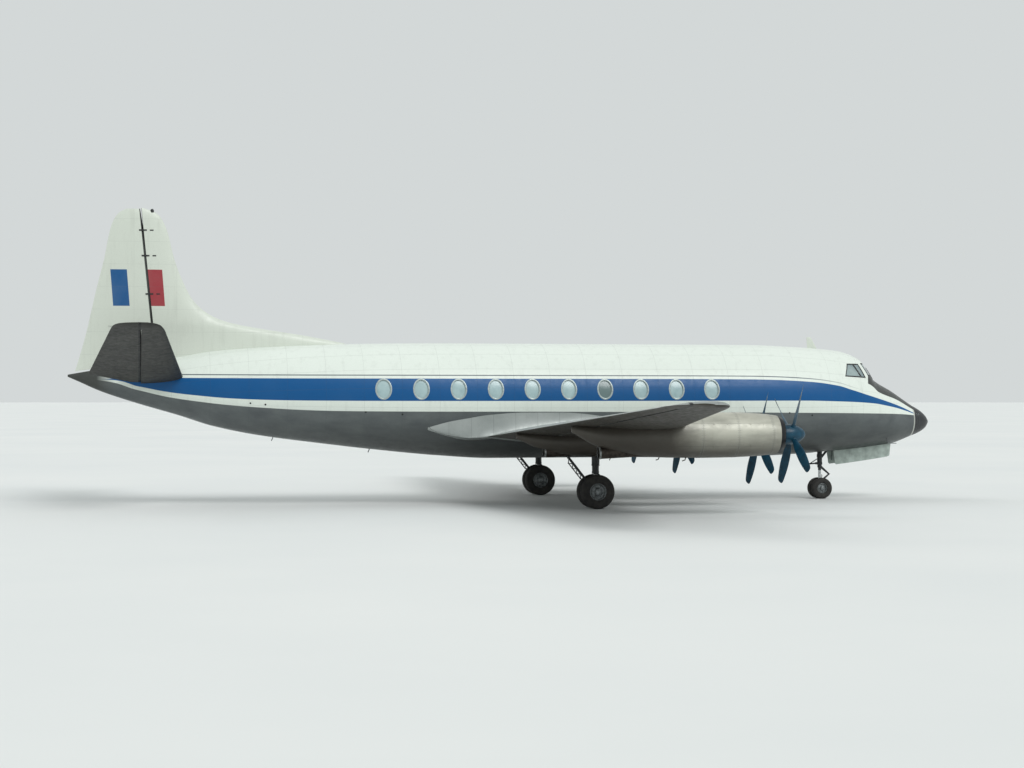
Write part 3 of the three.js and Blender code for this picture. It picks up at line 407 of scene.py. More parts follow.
# Painted edges along the fuselage: ahead of the main wheels, height
BLUE_TOP = [(-13.87, 3.46), (-12.9, 3.47), (-12.0, 3.53), (-10.8, 3.50), (-4, 3.487), (2, 3.487), (5.2, 3.48),
            (6.64, 3.43), (7.61, 3.33), (8.18, 3.19), (8.75, 3.03), (9.47, 2.84), (10.02, 2.67), (10.5, 2.49)]
BLUE_BOTTOM = [(-13.87, 3.47), (-12.9, 3.46), (-12.0, 3.27), (-10.5, 3.03), (-8.8, 2.91), (-6, 2.875),
               (0, 2.87), (6.58, 2.875), (7.5, 2.86), (8.71, 2.81), (9.43, 2.72), (10.10, 2.58), (10.5, 2.47)]
GREY_TOP = [(-13.87, 3.52), (-12.9, 3.42), (-12.0, 3.17), (-10.55, 2.88), (-8.5, 2.68), (-6.65, 2.60),
            (0, 2.57), (6.56, 2.53), (8.52, 2.51), (9.87, 2.48), (10.5, 2.44)]
CABIN_AXIS = 2.875
FRAME_PITCH = 1.034  # from one cabin window to the next, and from one main frame to the next
WINDOW_FIRST = -5.42


def weathered(look, colour, streak=0.35, dirt=GRIME, bleach=0.2):
    """A colour with broad fading, fine mottling and dirt that runs down the sides."""
    fade = look.ramp(look.noise(0.9, detail=5), 0.3, 0.75, 0.0, bleach)
    runs = look.ramp(look.noise(6.0, (1.0, 1.0, 0.12), 6, 0.6), 0.52, 0.8, 0.0, streak)
    fine = look.ramp(look.noise(55.0, detail=3), 0.45, 0.8, 0.0, 0.1)
    faded = look.mix(fade, colour, look.mix(0.5, colour, PALE))
    return look.mix(fine, look.mix(runs, faded, look.mix(0.35, faded, dirt)), dirt)


def sheet_seams(look, turn_pitch=20):
    """Seams of the fuselage's sheets: around it at the main frames, and along it."""
    around = look.lines(look.x, FRAME_PITCH, 0.005, -ahead(WINDOW_FIRST) - FRAME_PITCH / 2)
    lift = look.math("SUBTRACT", look.z, CABIN_AXIS)
    turn = look.math("DEGREES", look.math("ARCTAN2", lift, look.math("ABSOLUTE", look.y)))
    along = look.lines(turn, turn_pitch, 0.2, 7.0)
    return look.either(around, along)


def seamed_sheet(look, skin, seams, share, seam_colour, depth=0.004):
    """Colour with dark seams, and the seams as grooves over the slight unevenness of riveted sheet."""
    look.colour(look.mix(look.math("MULTIPLY", seams, share), skin, linear(seam_colour)))
    dents = look.noise(2.6, detail=2)
    grain = look.noise(180.0, detail=2)
    uneven = look.math("MULTIPLY_ADD", dents, 0.35, look.math("MULTIPLY", grain, 0.03))
    look.bump(look.math("SUBTRACT", uneven, seams), depth, 0.45)


def livery():
    """White over a blue band over bare metal, a dark pinstripe, and a black patch before the windscreen."""
    look = Finish("fuselage_livery", coat=0.04, specular=0.25)
    top, bottom, grey = look.edge(BLUE_TOP), look.edge(BLUE_BOTTOM), look.edge(GREY_TOP)
    tail_end = look.ramp(look.x, ahead(-12.6), ahead(-13.1))
    over_top = look.math("SUBTRACT", look.z, top)
    stripe = look.both(look.inside(over_top, 0.09, 0.014), look.ramp(look.x, ahead(8.6), ahead(6.5)))
    blue = look.both(look.above(look.z, bottom), look.below(look.z, top))
    metal = look.either(look.below(look.z, grey), tail_end)
    side = look.math("ABSOLUTE", look.y)
    beside = look.math("SUBTRACT", side, look.ramp(look.x, ahead(8.8), ahead(10.45), 1.02, 0.36))
    before_screen = look.above(look.math("MULTIPLY_ADD", side, 0.37, look.x), ahead(9.16), 0.006)
    glare = look.both(before_screen, look.above(look.z, 2.5), look.ramp(beside, 0.004, -0.004))
    ring = look.inside(look.x, ahead(10.455), 0.022)
    seams = sheet_seams(look)
    paint = look.mix(stripe, WHITE, DARK_LINE)
    paint = look.mix(glare, paint, SOOT)
    bare = look.mix(look.ramp(look.noise(1.4, (1, 2, 2), 5), 0.35, 0.7), BELLY, linear(0x5B6062))
    # Painted shade: the bare belly darkens towards its bottom, as the shaded underside of the fuselage.
    low = look.ramp(look.z, 1.3, 2.4, 0.7, 0.0)
    bare = look.mix(low, bare, linear(0x3A3A37))
    skin = look.mix(blue, weathered(look, paint), weathered(look, BLUE, 0.12, linear(0x042A42), 0.025))
    bare = look.mix(look.both(tail_end, 0.75), bare, linear(0x35342F))
    skin = look.mix(metal, skin, weathered(look, bare, 0.25, linear(0x2E2F2D), 0.08))
    skin = look.mix(look.both(ring, look.math("SUBTRACT", 1.0, glare)), skin, linear(0xB4B6AF))
    rubbed = look.ramp(look.noise(7.0, detail=5), 0.3, 0.7, 0.28, 0.44)
    look.link("Roughness", look.ramp(metal, 0, 1, rubbed, look.math("MULTIPLY", rubbed, 1.05)))
    look.link("Metallic", look.math("MULTIPLY", metal, 0.5))
    seamed_sheet(look, skin, seams, 0.24, 0x43484A)
    return look.material


# Hinge lines: place along the surface and distance ahead, twice
FIN_HINGE = [(3.7, -11.516), (8.14, -11.960)]
TAIL_HINGE = [(0.4, -11.98), (5.5, -11.98)]
WING_HINGE = [(1.5, -1.380), (14.0, -0.560)]


def hinge_gap(look, span, hinge, lip):
    """1 in the gap ahead of a moving surface, as deep as its lip."""
    (low, front), (high, back) = hinge
    line = look.ramp(span, low, high, ahead(front), ahead(back))
    return look.inside(look.math("SUBTRACT", look.x, line), (lip - 0.008) / 2, (lip + 0.008) / 2, 0.003)


def tail_paint():
    """White fin and rudder with a plain red and a plain blue panel."""
    look = Finish("tail_white", coat=0.05, specular=0.3)
    # Columns: middle ahead at mid height, lean over the height, half width, colour
    panels = [(-11.51, -0.078, 0.20, RED), (-12.48, -0.078, 0.222, BLUE)]
    middle, half_height = 5.97, 0.5
    paint = linear(0xCFD5CA)
    across = look.inside(look.z, middle, half_height)
    lift = look.math("SUBTRACT", look.z, middle)
    for at, lean, half, colour in panels:
        centre = look.math("MULTIPLY_ADD", lift, lean, ahead(at))
        away = look.math("SUBTRACT", look.x, centre)
        paint = look.mix(look.both(across, look.inside(away, 0.0, half)), paint, colour)
    seams = look.either(look.lines(look.z, 0.62, 0.004, 0.2), look.lines(look.x, 1.15, 0.004, 0.35))
    paint = look.mix(hinge_gap(look, look.z, FIN_HINGE, 0.056), paint, GAP)
    skin = weathered(look, paint, 0.4)
    look.gloss(6.0, 0.28, 0.46)
    seamed_sheet(look, skin, seams, 0.2, 0x5A6062)
    return look.material


def wing_metal():
    """Weathered sheet: pale above and dark brownish below, the dark being painted shade. The root fillet is
    painted pale on all sides, as lit.
    """
    look = Finish("wing_sheet", specular=0.3)
    side = look.math("ABSOLUTE", look.y)
    # Painted light and shade: faces that look up, and every face of the root fillet, take the pale colour as
    # lit; faces that look down take the dark brownish colour as shaded. Metallic follows the same split.
    root = look.ramp(side, 1.70, 1.66)
    up = look.either(look.ramp(look.split(look.facing)[2], -0.05, 0.25), root)
    mottled = look.ramp(look.noise(1.1, detail=5), 0.3, 0.7)
    under = look.mix(mottled, linear(0x3A352E), linear(0x2A2621))
    over = look.mix(mottled, linear(0xA9AEAC), linear(0x8D9391))
    ribs = look.lines(side, 0.74, 0.004, 0.1)
    spars = look.lines(look.math("MULTIPLY_ADD", side, 0.1, look.x), 0.62, 0.004, 0.2)
    seams = look.either(ribs, spars)
    gap = look.both(hinge_gap(look, side, WING_HINGE, 0.07), look.above(side, 1.69))
    base = look.mix(gap, look.mix(up, under, over), GAP)
    skin = weathered(look, base, 0.2, linear(0x2E2C29), 0.1)
    look.gloss(8.0, 0.34, 0.55)
    look.link("Metallic", look.ramp(up, 0, 1, 0.25, 0.5))
    seamed_sheet(look, skin, seams, 0.5, 0x26282A)
    return look.material


def tail_metal():
    look = Finish("tailplane_sheet", specular=0.2)
    side = look.math("ABSOLUTE", look.y)
    seams = look.either(look.lines(side, 0.55, 0.004), look.lines(look.x, 0.5, 0.004, 0.12))
    mottled = look.ramp(look.noise(1.6, detail=5), 0.3, 0.7)
    # Grey metal darkened with painted shade: the dark grey of the shaded underside is given to the whole
    # tailplane, top as well.
    base = look.mix(mottled, linear(0x3A3936), linear(0x2A2A28))
    base = look.mix(hinge_gap(look, side, TAIL_HINGE, 0.056), base, GAP)
    skin = weathered(look, base, 0.2, linear(0x1F2021), 0.04)
    look.gloss(8.0, 0.36, 0.55)
    seamed_sheet(look, skin, seams, 0.5, 0x1B1C1D)
    return look.material


def cowling_paint():
    """Pale grey cowling with panel seams and a dark band behind the intake, darkened by painted shade on its
    underside and on its rear part under the wing, and by soot mixed with painted shade towards the jet pipe.
    """
    look = Finish("cowling_paint", coat=0.05, specular=0.35)
    side = look.math("ABSOLUTE", look.y)
    outer = look.above(side, (NACELLES["inner"]["span"] + NACELLES["outer"]["span"]) / 2)
    lip = look.ramp(outer, 0, 1, ahead(NACELLES["inner"]["lip"]), ahead(NACELLES["outer"]["lip"]))
    back = look.math("SUBTRACT", lip, look.x)
    seams = look.either(*[look.inside(back, at, 0.004, 0.002) for at in COWL_RINGS])
    lift = look.math("SUBTRACT", look.z, look.ramp(outer, 0, 1, 1.88, 2.03))
    wraps = look.either(look.inside(lift, 0.30, 0.003, 0.002), look.inside(lift, -0.27, 0.003, 0.002))
    seams = look.either(seams, look.both(wraps, look.above(back, COWL_RINGS[0]), look.ramp(back, 3.3, 3.29)))
    # Painted shade: the cowling darkens towards its bottom.
    low = look.ramp(lift, 0.05, -0.44)
    # Soot and painted shade together: dark patches that grow towards the jet pipe.
    soot_and_shade_amount = look.math("ADD", look.noise(2.5, (0.35, 1, 1), 6), look.ramp(back, 1.2, 4.4, 0, 0.35))
    soot_and_shade = look.ramp(soot_and_shade_amount, 0.5, 0.95)
    base = weathered(look, linear(0xB4B3A6), 0.3)
    base = look.mix(look.math("MULTIPLY", low, 0.85), base, linear(0x3F3B35))
    base = look.mix(look.math("MULTIPLY", soot_and_shade, 0.65), base, linear(0x2C2A28))
    # Painted shade of the wing over the cowling's rear part, below its top, with some staining mixed in.
    under = look.ramp(look.math("MULTIPLY_ADD", look.noise(2.0), -0.5, back), 1.9, 2.7)
    under = look.both(under, look.ramp(lift, 0.36, 0.20))
    base = look.mix(look.math("MULTIPLY", under, 0.9), base, linear(0x3F3A34))
    base = look.mix(look.ramp(back, 0.135, 0.128), base, SOOT)
    look.gloss(9.0, 0.32, 0.5)
    look.link("Metallic", look.ramp(look.noise(3.0), 0.3, 0.7, 0.05, 0.2))
    seamed_sheet(look, base, seams, 0.45, 0x2C2E2F, 0.005)
    return look.material


def worn(name, base, second, metallic=0.0, rough=(0.35, 0.6), scale=8.0, grain=60.0, depth=0.001, coat=0.0):
    """General finish: two tones in patches, varied gloss and a fine grain."""
    look = Finish(name, metallic=metallic, coat=coat)
    patches = look.ramp(look.noise(scale, detail=6), 0.35, 0.7)
    specks = look.ramp(look.noise(scale * 9, detail=3), 0.6, 0.75, 0.0, 0.5)
    look.colour(look.mix(specks, look.mix(patches, linear(base), linear(second)), linear(second)))
    look.gloss(scale * 2, *rough)
    look.bump(look.noise(grain, detail=3), depth, 0.5)
    return look.material


def window_pane():
    """Cabin pane over a drawn pale blind. One seat row's blind is up."""
    look = Finish("cabin_pane", roughness=0.22, coat=0.15)
    open_blind = look.inside(look.x, ahead(WINDOW_FIRST + 6 * FRAME_PITCH), 0.4)
    cloud = look.ramp(look.noise(3.0), 0.35, 0.7)
    drawn = look.mix(cloud, linear(0xA9BFC0), linear(0x94ADB0))
    look.colour(look.mix(open_blind, drawn, linear(0x647878)))
    look.bump(look.noise(4.0), 0.002, 0.3)
    return look.material


def cockpit_glass():
    look = Finish("cockpit_glass", roughness=0.05, coat=0.5)
    cloud = look.ramp(look.noise(2.2), 0.35, 0.7)
    look.colour(look.mix(cloud, linear(0x94A4A3), linear(0x66767A)))
    look.bump(look.noise(5.0), 0.001, 0.2)
    return look.material


def propeller_paint():
    """Dark blue-green with bare metal showing in small worn chips."""
    look = Finish("propeller_paint", coat=0.04, specular=0.3)
    patches = look.ramp(look.noise(7.0, detail=6), 0.35, 0.7)
    chips = look.ramp(look.noise(48.0), 0.68, 0.74)
    base = look.mix(patches, linear(0x0F4258), linear(0x0C3040))
    look.colour(look.mix(look.math("MULTIPLY", chips, 0.5), base, linear(0x7F8688)))
    look.gloss(12.0, 0.28, 0.5)
    look.bump(look.noise(90.0), 0.0006, 0.4)
    return look.material


MATERIALS = {
    "livery": livery(),
    "tail": tail_paint(),
    "wing": wing_metal(),
    "tailplane": tail_metal(),
    "cowling": cowling_paint(),
    "pane": window_pane(),
    "cockpit": cockpit_glass(),
    "propeller": propeller_paint(),
    "radome": worn("radome_black", 0x16181A, 0x24282A, rough=(0.3, 0.5), scale=5.0, coat=0.2),
    "rim": worn("window_rim", 0xA9B4B2, 0x8C9898, metallic=0.3, rough=(0.25, 0.45), scale=20.0),
    "bare": worn("bare_metal", 0xA6A9A8, 0x7C8080, metallic=0.9, rough=(0.22, 0.42), scale=10.0),
    "dark": worn("dark_engine", 0x2B2C2E, 0x1A1B1C, metallic=0.6, rough=(0.4, 0.65), scale=14.0),
    "pipe": worn("burnt_pipe", 0x4A423C, 0x241F1C, metallic=0.7, rough=(0.45, 0.7), scale=9.0),
    "gear": worn("gear_paint", 0x33373A, 0x1D2022, metallic=0.2, rough=(0.35, 0.6), scale=16.0),
    "hose": worn("gear_hose", 0x1A1B1C, 0x2D2C2A, rough=(0.45, 0.7), scale=30.0),
    "brake": worn("brake_metal", 0x57534E, 0x312E2B, metallic=0.6, rough=(0.4, 0.65), scale=24.0),
    "fastener": worn("fastener_metal", 0x8C9192, 0x5E6364, metallic=0.7, rough=(0.3, 0.5), scale=30.0),
    "light_red": worn("red_lens", 0x8E1620, 0x6A0E18, rough=(0.08, 0.2), scale=40.0, coat=0.5),
    "light_green": worn("green_lens", 0x1B7A4A, 0x125C38, rough=(0.08, 0.2), scale=40.0, coat=0.5),
    "oleo": worn("oleo_chrome", 0xC7CACB, 0x9B9FA0, metallic=1.0, rough=(0.12, 0.25), scale=30.0),
    "wheel": worn("wheel_metal", 0x8E9394, 0x4D5152, metallic=0.6, rough=(0.35, 0.6), scale=18.0),
    "tyre": worn("tyre_rubber", 0x1D1D1E, 0x35332F, rough=(0.75, 0.95), scale=12.0, grain=140.0),
    "seal": worn("black_seal", 0x17191A, 0x26292A, rough=(0.5, 0.7), scale=25.0),
    "door": worn("gear_door_paint", 0xA9B6AF, 0x87928C, rough=(0.35, 0.55), scale=6.0),
    "lining": worn("bay_lining", 0x6E7568, 0x4B5148, rough=(0.5, 0.7), scale=8.0),
}


# What repeats: one small form set on many spots by geometry nodes


def repeat_tree(name, form, sizes):
    """A node tree that sets a form on every vertex, its own Z along the vertex's way."""
    tree = bpy.data.node_groups.new(name, "GeometryNodeTree")
    tree.interface.new_socket("Spots", in_out="INPUT", socket_type="NodeSocketGeometry")
    sockets = {}
    for key, value in sizes.items():
        kind = "NodeSocketInt" if isinstance(value, int) else "NodeSocketFloat"
        sockets[key] = tree.interface.new_socket(key, in_out="INPUT", socket_type=kind).identifier
    tree.interface.new_socket("Pieces", in_out="OUTPUT", socket_type="NodeSocketGeometry")
    start, end = tree.nodes.new("NodeGroupInput"), tree.nodes.new("NodeGroupOutput")

    if form == "head":
        shape = add_node(tree, "GeometryNodeMeshCone", {
            "Vertices": start.outputs["Sides"], "Radius Top": start.outputs["Top radius"],
            "Radius Bottom": start.outputs["Radius"], "Depth": start.outputs["Height"]}, fill_type="NGON")
    else:
        size = add_node(tree, "ShaderNodeCombineXYZ", {
            "X": start.outputs["Length"], "Y": start.outputs["Thickness"], "Z": start.outputs["Height"]})
        shape = add_node(tree, "GeometryNodeMeshCube", {"Size": size.outputs[0]})
    way = add_node(tree, "GeometryNodeInputNamedAttribute", {"Name": "way"}, data_type="FLOAT_VECTOR")
    turn = add_node(tree, "FunctionNodeAlignRotationToVector", {"Vector": way.outputs["Attribute"]}, axis="Z")
    size = add_node(tree, "FunctionNodeRandomValue", {"Min": 0.94, "Max": 1.06, "Seed": 7}, data_type="FLOAT")
    placed = add_node(tree, "GeometryNodeInstanceOnPoints", {
        "Points": start.outputs["Spots"], "Instance": shape.outputs["Mesh"],
        "Rotation": turn.outputs["Rotation"], "Scale": size.outputs["Value"]})
    real = add_node(tree, "GeometryNodeRealizeInstances", {"Geometry": placed.outputs["Instances"]})
    made = add_node(tree, "GeometryNodeSetMaterial", {"Geometry": real.outputs["Geometry"]})
    tree.links.new(made.outputs["Geometry"], end.inputs["Pieces"])
    return tree, sockets, made


RIVET = {"sides": 6, "radius": 0.007, "top_radius": 0.0045, "height": 0.0032}
RIVET_SINK = 0.0008  # how deep a rivet's foot is in the skin


def repeated(name, spots, finish, form="head", **sizes):
    """Many heads or vanes as one mesh. Spots are pairs of a point and the way it faces."""
    mesh = bpy.data.meshes.new(name)
    mesh.from_pydata([tuple(point) for point, _ in spots], [], [])
    ways = mesh.attributes.new("way", "FLOAT_VECTOR", "POINT")
    ways.data.foreach_set("vector", [float(c) for _, way in spots for c in way])
    thing = bpy.data.objects.new(name, mesh)
    bpy.context.scene.collection.objects.link(thing)
    sizes = {key.replace("_", " ").capitalize(): value for key, value in sizes.items()}
    tree, sockets, last = repeat_tree(name, form, sizes)
    last.inputs["Material"].default_value = MATERIALS[finish]
    change = thing.modifiers.new("repeat", "NODES")
    change.node_group = tree
    for key, value in sizes.items():
        change[sockets[key]] = value
    result = evaluated_mesh(thing)
    thing.modifiers.remove(change)
    thing.data = result
    bpy.data.meshes.remove(mesh)
    bpy.data.node_groups.remove(tree)
    return thing


def both_sides(spots):
    return [*spots, *[((x, -y, z), (u, -v, w)) for (x, y, z), (u, v, w) in spots]]


def outward(middle, point):
    """Unit way from a middle to a point."""
    return tuple((Vector(point) - Vector(middle)).normalized())


# Fuselage. Columns: ahead of the main wheels, top, bottom, half width, height of the widest point
FUSELAGE = [
    (11.060, 2.300, 2.200, 0.050, 2.250), (10.960, 2.440, 2.060, 0.190, 2.252),
    (10.780, 2.590, 1.940, 0.320, 2.262), (10.480, 2.760, 1.820, 0.465, 2.290),
    (9.850, 3.160, 1.600, 0.800, 2.380), (9.170, 3.570, 1.505, 1.080, 2.480),
    (8.960, 3.900, 1.480, 1.150, 2.510), (8.770, 4.130, 1.460, 1.205, 2.540),
    (8.160, 4.340, 1.400, 1.350, 2.630), (6.860, 4.445, 1.310, 1.540, 2.780),
    (5.400, 4.500, 1.250, 1.625, 2.875), (-2.200, 4.500, 1.250, 1.625, 2.875),
    (-3.700, 4.498, 1.335, 1.600, 2.900), (-5.400, 4.480, 1.500, 1.520, 2.970),
    (-7.000, 4.440, 1.690, 1.375, 3.050), (-8.760, 4.360, 1.930, 1.130, 3.150),
    (-10.000, 4.250, 2.190, 0.915, 3.230), (-10.900, 4.090, 2.480, 0.735, 3.300),
    (-12.050, 3.880, 2.820, 0.480, 3.380), (-13.000, 3.740, 3.140, 0.265, 3.450),
    (-13.600, 3.640, 3.410, 0.110, 3.530), (-13.870, 3.590, 3.530, 0.030, 3.560),
]
BODY_TOP, BODY_BOTTOM, BODY_HALF, BODY_MIDDLE = [smooth(FUSELAGE, column) for column in (1, 2, 3, 4)]
NOSE_TIP, RADOME_BASE, NOSE_JOINT, TAIL_JOINT, TAIL_TIP = 11.060, 10.480, 4.700, -6.000, -13.870


def body_reach(at, upper):
    """Height of the fuselage's widest point, and the reach from there to its top or its bottom."""
    middle = BODY_MIDDLE(at)
    return middle, BODY_TOP(at) - middle if upper else middle - BODY_BOTTOM(at)


def skin_point(at, angle, grow=0.0):
    """Point of the fuselage's skin. Angle 0 is port and a quarter turn is the top."""
    middle, reach = body_reach(at, math.sin(angle) > 0)
    side = (BODY_HALF(at) + grow) * math.cos(angle)
    return (ahead(at), side, middle + (reach + grow) * math.sin(angle))


def skin_at_height(at, height, grow=0.0, side=1):
    """Point of the skin at a height, on the port side or, with side -1, on the starboard side."""
    middle, reach = body_reach(at, height > BODY_MIDDLE(at))
    angle = math.asin(max(-1.0, min(1.0, (height - middle) / reach)))
    x, y, z = skin_point(at, angle, grow)
    return (x, side * y, z)


INSIDE_SHARE = 0.985  # faces closer to the fuselage's axis than this share of the skin's distance are inside


def line_inside(thing):
    """Gives the walls of doorways, halls and bays, which lie inside the skin, the finish of a lining."""
    mesh = thing.data
    mesh.materials.append(MATERIALS["lining"])
    for face in mesh.polygons:
        x, side, height = face.center
        at = x - ahead(0)
        middle, reach = body_reach(at, height > BODY_MIDDLE(at))
        if math.hypot(side / BODY_HALF(at), (height - middle) / reach) < INSIDE_SHARE:
            face.material_index = 1


def stations(front, back, step):
    count = max(2, round((front - back) / step))
    return np.linspace(front, back, count + 1)


def body_solid(name, front, back, grow=0.0, step=SKIN_STEP):
    rings = [[skin_point(at, turn, grow) for turn in turns(SKIN_SIDES)] for at in stations(front, back, step)]
    return Shape().skin(rings).object(name)


def oval(width, height, count):
    return [(width / 2 * math.cos(turn), height / 2 * math.sin(turn)) for turn in turns(count)]


CABIN_WINDOW = {"width": 0.408, "height": 0.533, "middle": 3.195, "depth": 0.045, "count": 10}
WINDOW_PLACES = [WINDOW_FIRST + FRAME_PITCH * i for i in range(CABIN_WINDOW["count"])]


def window_cutters():
    """Shallow oval recesses for the cabin windows on both sides, as one cutter."""
    cutter = Shape()
    wide, high, middle = CABIN_WINDOW["width"], CABIN_WINDOW["height"], CABIN_WINDOW["middle"]
    for at in WINDOW_PLACES:
        for side in (1, -1):
            cutter.skin([[skin_at_height(at + u, middle + v, grow, side) for u, v in oval(wide, high, 48)]
                         for grow in (-CABIN_WINDOW["depth"] - 0.015, 0.1)])
    return cutter.object("window_cutter")


def window_fittings():
    """Polished rims and pale panes of the cabin windows."""
    rims, panes = Shape(), Shape()
    wide, high, middle = CABIN_WINDOW["width"], CABIN_WINDOW["height"], CABIN_WINDOW["middle"]
    # Columns: how far outside the window's edge, how far outside the skin
    profile = [(-0.020, -0.045), (-0.020, -0.004), (-0.006, 0.004), (0.014, 0.005), (0.026, 0.001),
               (0.026, -0.02), (0.0, -0.03), (0.0, -0.045)]
    for at in WINDOW_PLACES:
        for side in (1, -1):
            def spot(u, v, grow):
                return skin_at_height(at + u, middle + v, grow, side)
            rings = [[spot(u, v, proud) for u, v in oval(wide + 2 * out, high + 2 * out, 48)]
                     for out, proud in profile]
            rims.skin([list(ring) for ring in zip(*rings)], closed=True)
            grid = [[spot(u, v, 0.004 * (1 - share) - 0.030) for u, v in oval(wide * share, high * share, 40)]
                    for share in (1.0, 0.8, 0.5, 0.1)]
            back = [[spot(u, v, -0.06) for u, v in oval(wide, high, 40)]]
            panes.skin(back + grid)
    return rims, panes


# Doors on the port side
DOOR = {"width": 0.86, "height": 1.6, "middle": 2.86, "thickness": 0.07, "deep": 0.35, "taper": 0.25,
        "proud": 0.15}
DOOR_PANE = {"width": 0.30, "height": 0.42, "middle": 3.21}
DOORS = {"door_front": 5.9, "door_rear": -7.05}
VESTIBULE_DEPTH = 0.62
WALL = 0.11
HALL = {"front": -6.25, "back": -7.85, "half": 1.13, "floor": 2.04, "ceiling": 4.05}


def door_plug(name, at, grow, inside):
    skin = BODY_HALF(at)
    rings = []
    for y in (inside, skin - DOOR["deep"], skin + DOOR["proud"]):
        inset = min(skin - y, DOOR["deep"]) * DOOR["taper"] - grow
        outline = oval(DOOR["width"] - 2 * inset, DOOR["height"] - 2 * inset, 64)
        rings.append([(ahead(at) + u, y, DOOR["middle"] + v) for u, v in outline])
    return Shape().skin(rings).object(name)


def door_opening(at):
    return door_plug("doorway", at, MOVING_GAP, BODY_HALF(at) - VESTIBULE_DEPTH)


def build_doors():
    for name, at in DOORS.items():
        front, back = at + DOOR["width"], at - DOOR["width"]
        shell = body_solid(name, front, back, step=0.05)
        inner = body_solid("inner", front + 0.01, back - 0.01, -DOOR["thickness"], step=0.05)
        boolean(shell, inner, "DIFFERENCE")
        plug = door_plug("plug", at, 0.0, BODY_HALF(at) - DOOR["deep"] - 0.05)
        boolean(shell, plug, "INTERSECT")
        cut = Shape()
        skin = BODY_HALF(at)
        wide, high, middle = DOOR_PANE.values()
        cut.skin([[(ahead(at) + u, y, middle + v) for u, v in oval(wide, high, 32)]
                  for y in (skin - DOOR["deep"], skin + 0.2)])
        boolean(shell, cut.object("pane_cut"), "DIFFERENCE")
        finish_piece(shell, name + "_panel", "livery", [name], name)
        line_inside(shell)
        pane = Shape()
        pane.skin([[skin_at_height(at + u, middle + v, grow) for u, v in oval(wide * share, high * share, 32)]
                   for share, grow in ((1.03, -0.055), (1.0, -0.02), (0.6, -0.018), (0.1, -0.017))])
        finish_piece(pane, name + "_pane", "pane", body=name)
        handle = Shape()
        spot = Vector(skin_at_height(at - 0.26, 2.62))
        handle.tube([spot + Vector((0, -0.01, 0)), spot + Vector((0, 0.022, 0))], 0.024, 16)
        handle.tube([spot + Vector((-0.07, 0.022, 0)), spot + Vector((0.07, 0.024, 0))], 0.011, 10)
        finish_piece(handle, name + "_handle", "rim", body=name)


def door_frames():
    """Raised edges round the two doorways."""
    shape = Shape()
    for at in DOORS.values():
        # Columns: how far outside the door's edge, how far outside the skin
        profile = [(0.010, -0.03), (0.010, 0.003), (0.02, 0.007), (0.05, 0.007), (0.06, 0.001), (0.06, -0.03)]
        rings = []
        for out, proud in profile:
            outline = oval(DOOR["width"] + 2 * out, DOOR["height"] + 2 * out, 72)
            rings.append([skin_at_height(at + u, DOOR["middle"] + v, proud) for u, v in outline])
        shape.skin([list(ring) for ring in zip(*rings)], closed=True)
    finish_piece(shape, "door_frames", "livery")


# Cockpit glazing seen from the side: columns ahead, height
GLAZING = [(9.175, 3.560), (8.930, 4.010), (8.820, 4.080), (7.960, 4.080), (7.930, 3.510), (8.780, 3.500)]
GLASS_THICKNESS = 0.024
# Openings of the painted frame: side window, windscreen
FRAME_HOLES = [[(8.03, 3.57), (8.19, 3.95), (8.60, 3.95), (8.745, 3.53)],
               [(8.84, 3.60), (9.30, 3.60), (9.20, 3.97), (8.70, 3.97)]]
# Openings of the dark seal inside it: the side window's two panes, windscreen
SEAL_HOLES = [[(8.075, 3.605), (8.215, 3.920), (8.385, 3.920), (8.555, 3.580)],
              [(8.435, 3.920), (8.585, 3.920), (8.705, 3.565), (8.605, 3.575)],
              [(8.870, 3.630), (9.30, 3.630), (9.20, 3.940), (8.735, 3.940)]]


def side_prism(name, outline):
    return Shape().plate([(ahead(at), z) for at, z in outline], "y", -2.5, 2.5).object(name)


def glazing_prism(grow):
    middle, height = 8.6, 3.8
    scale = 1 + grow / 0.2
    outline = [((at - middle) * scale + middle, (z - height) * scale + height) for at, z in GLAZING]
    return side_prism("glazing_prism", outline)


def glazing_layer(name, outside, inside, grow=0.0, step=0.04):
    """A shell between two distances from the skin, as large as the glazing."""
    layer = body_solid(name, 9.6, 7.4, outside, step)
    boolean(layer, body_solid("layer_inner", 9.61, 7.39, inside, step), "DIFFERENCE")
    return boolean(layer, glazing_prism(grow), "INTERSECT")


def build_glazing():
    panes = glazing_layer("cockpit_panes", -0.012, -GLASS_THICKNESS)
    finish_piece(panes, "cockpit_panes", "cockpit", ["cockpit_glazing"])
    for name, high, holes, post, finish in (("cockpit_seals", -0.004, SEAL_HOLES, 0.05, "seal"),
                                            ("cockpit_frames", 0.002, FRAME_HOLES, 0.03, "livery")):
        layer = glazing_layer(name, high, -0.022)
        for hole in holes:
            cutter = side_prism("pane_hole", hole)
            if hole is holes[-1]:
                middle = Shape().block((ahead(8.5), -post, 3.4), (ahead(9.4), post, 4.2))
                boolean(cutter, middle.object("centre_post"), "DIFFERENCE")
            boolean(layer, cutter, "DIFFERENCE")
        finish_piece(layer, name, finish)
    wipers = Shape()
    for side in (1, -1):
        # Columns: ahead, quarter turns up from the side, how far outside the skin
        arm = [(9.20, 0.80, 0.004), (9.18, 0.79, 0.018), (9.02, 0.74, 0.022), (8.90, 0.70, 0.014)]
        path = [skin_point(at, turn * math.pi / 2, proud) for at, turn, proud in arm]
        wipers.tube([(x, side * y, z) for x, y, z in path], 0.007, 8)
    finish_piece(wipers, "windscreen_wipers", "seal")


NOSE_BAY = {"front": 9.8, "back": 7.42, "half": 0.25, "top": 1.98}


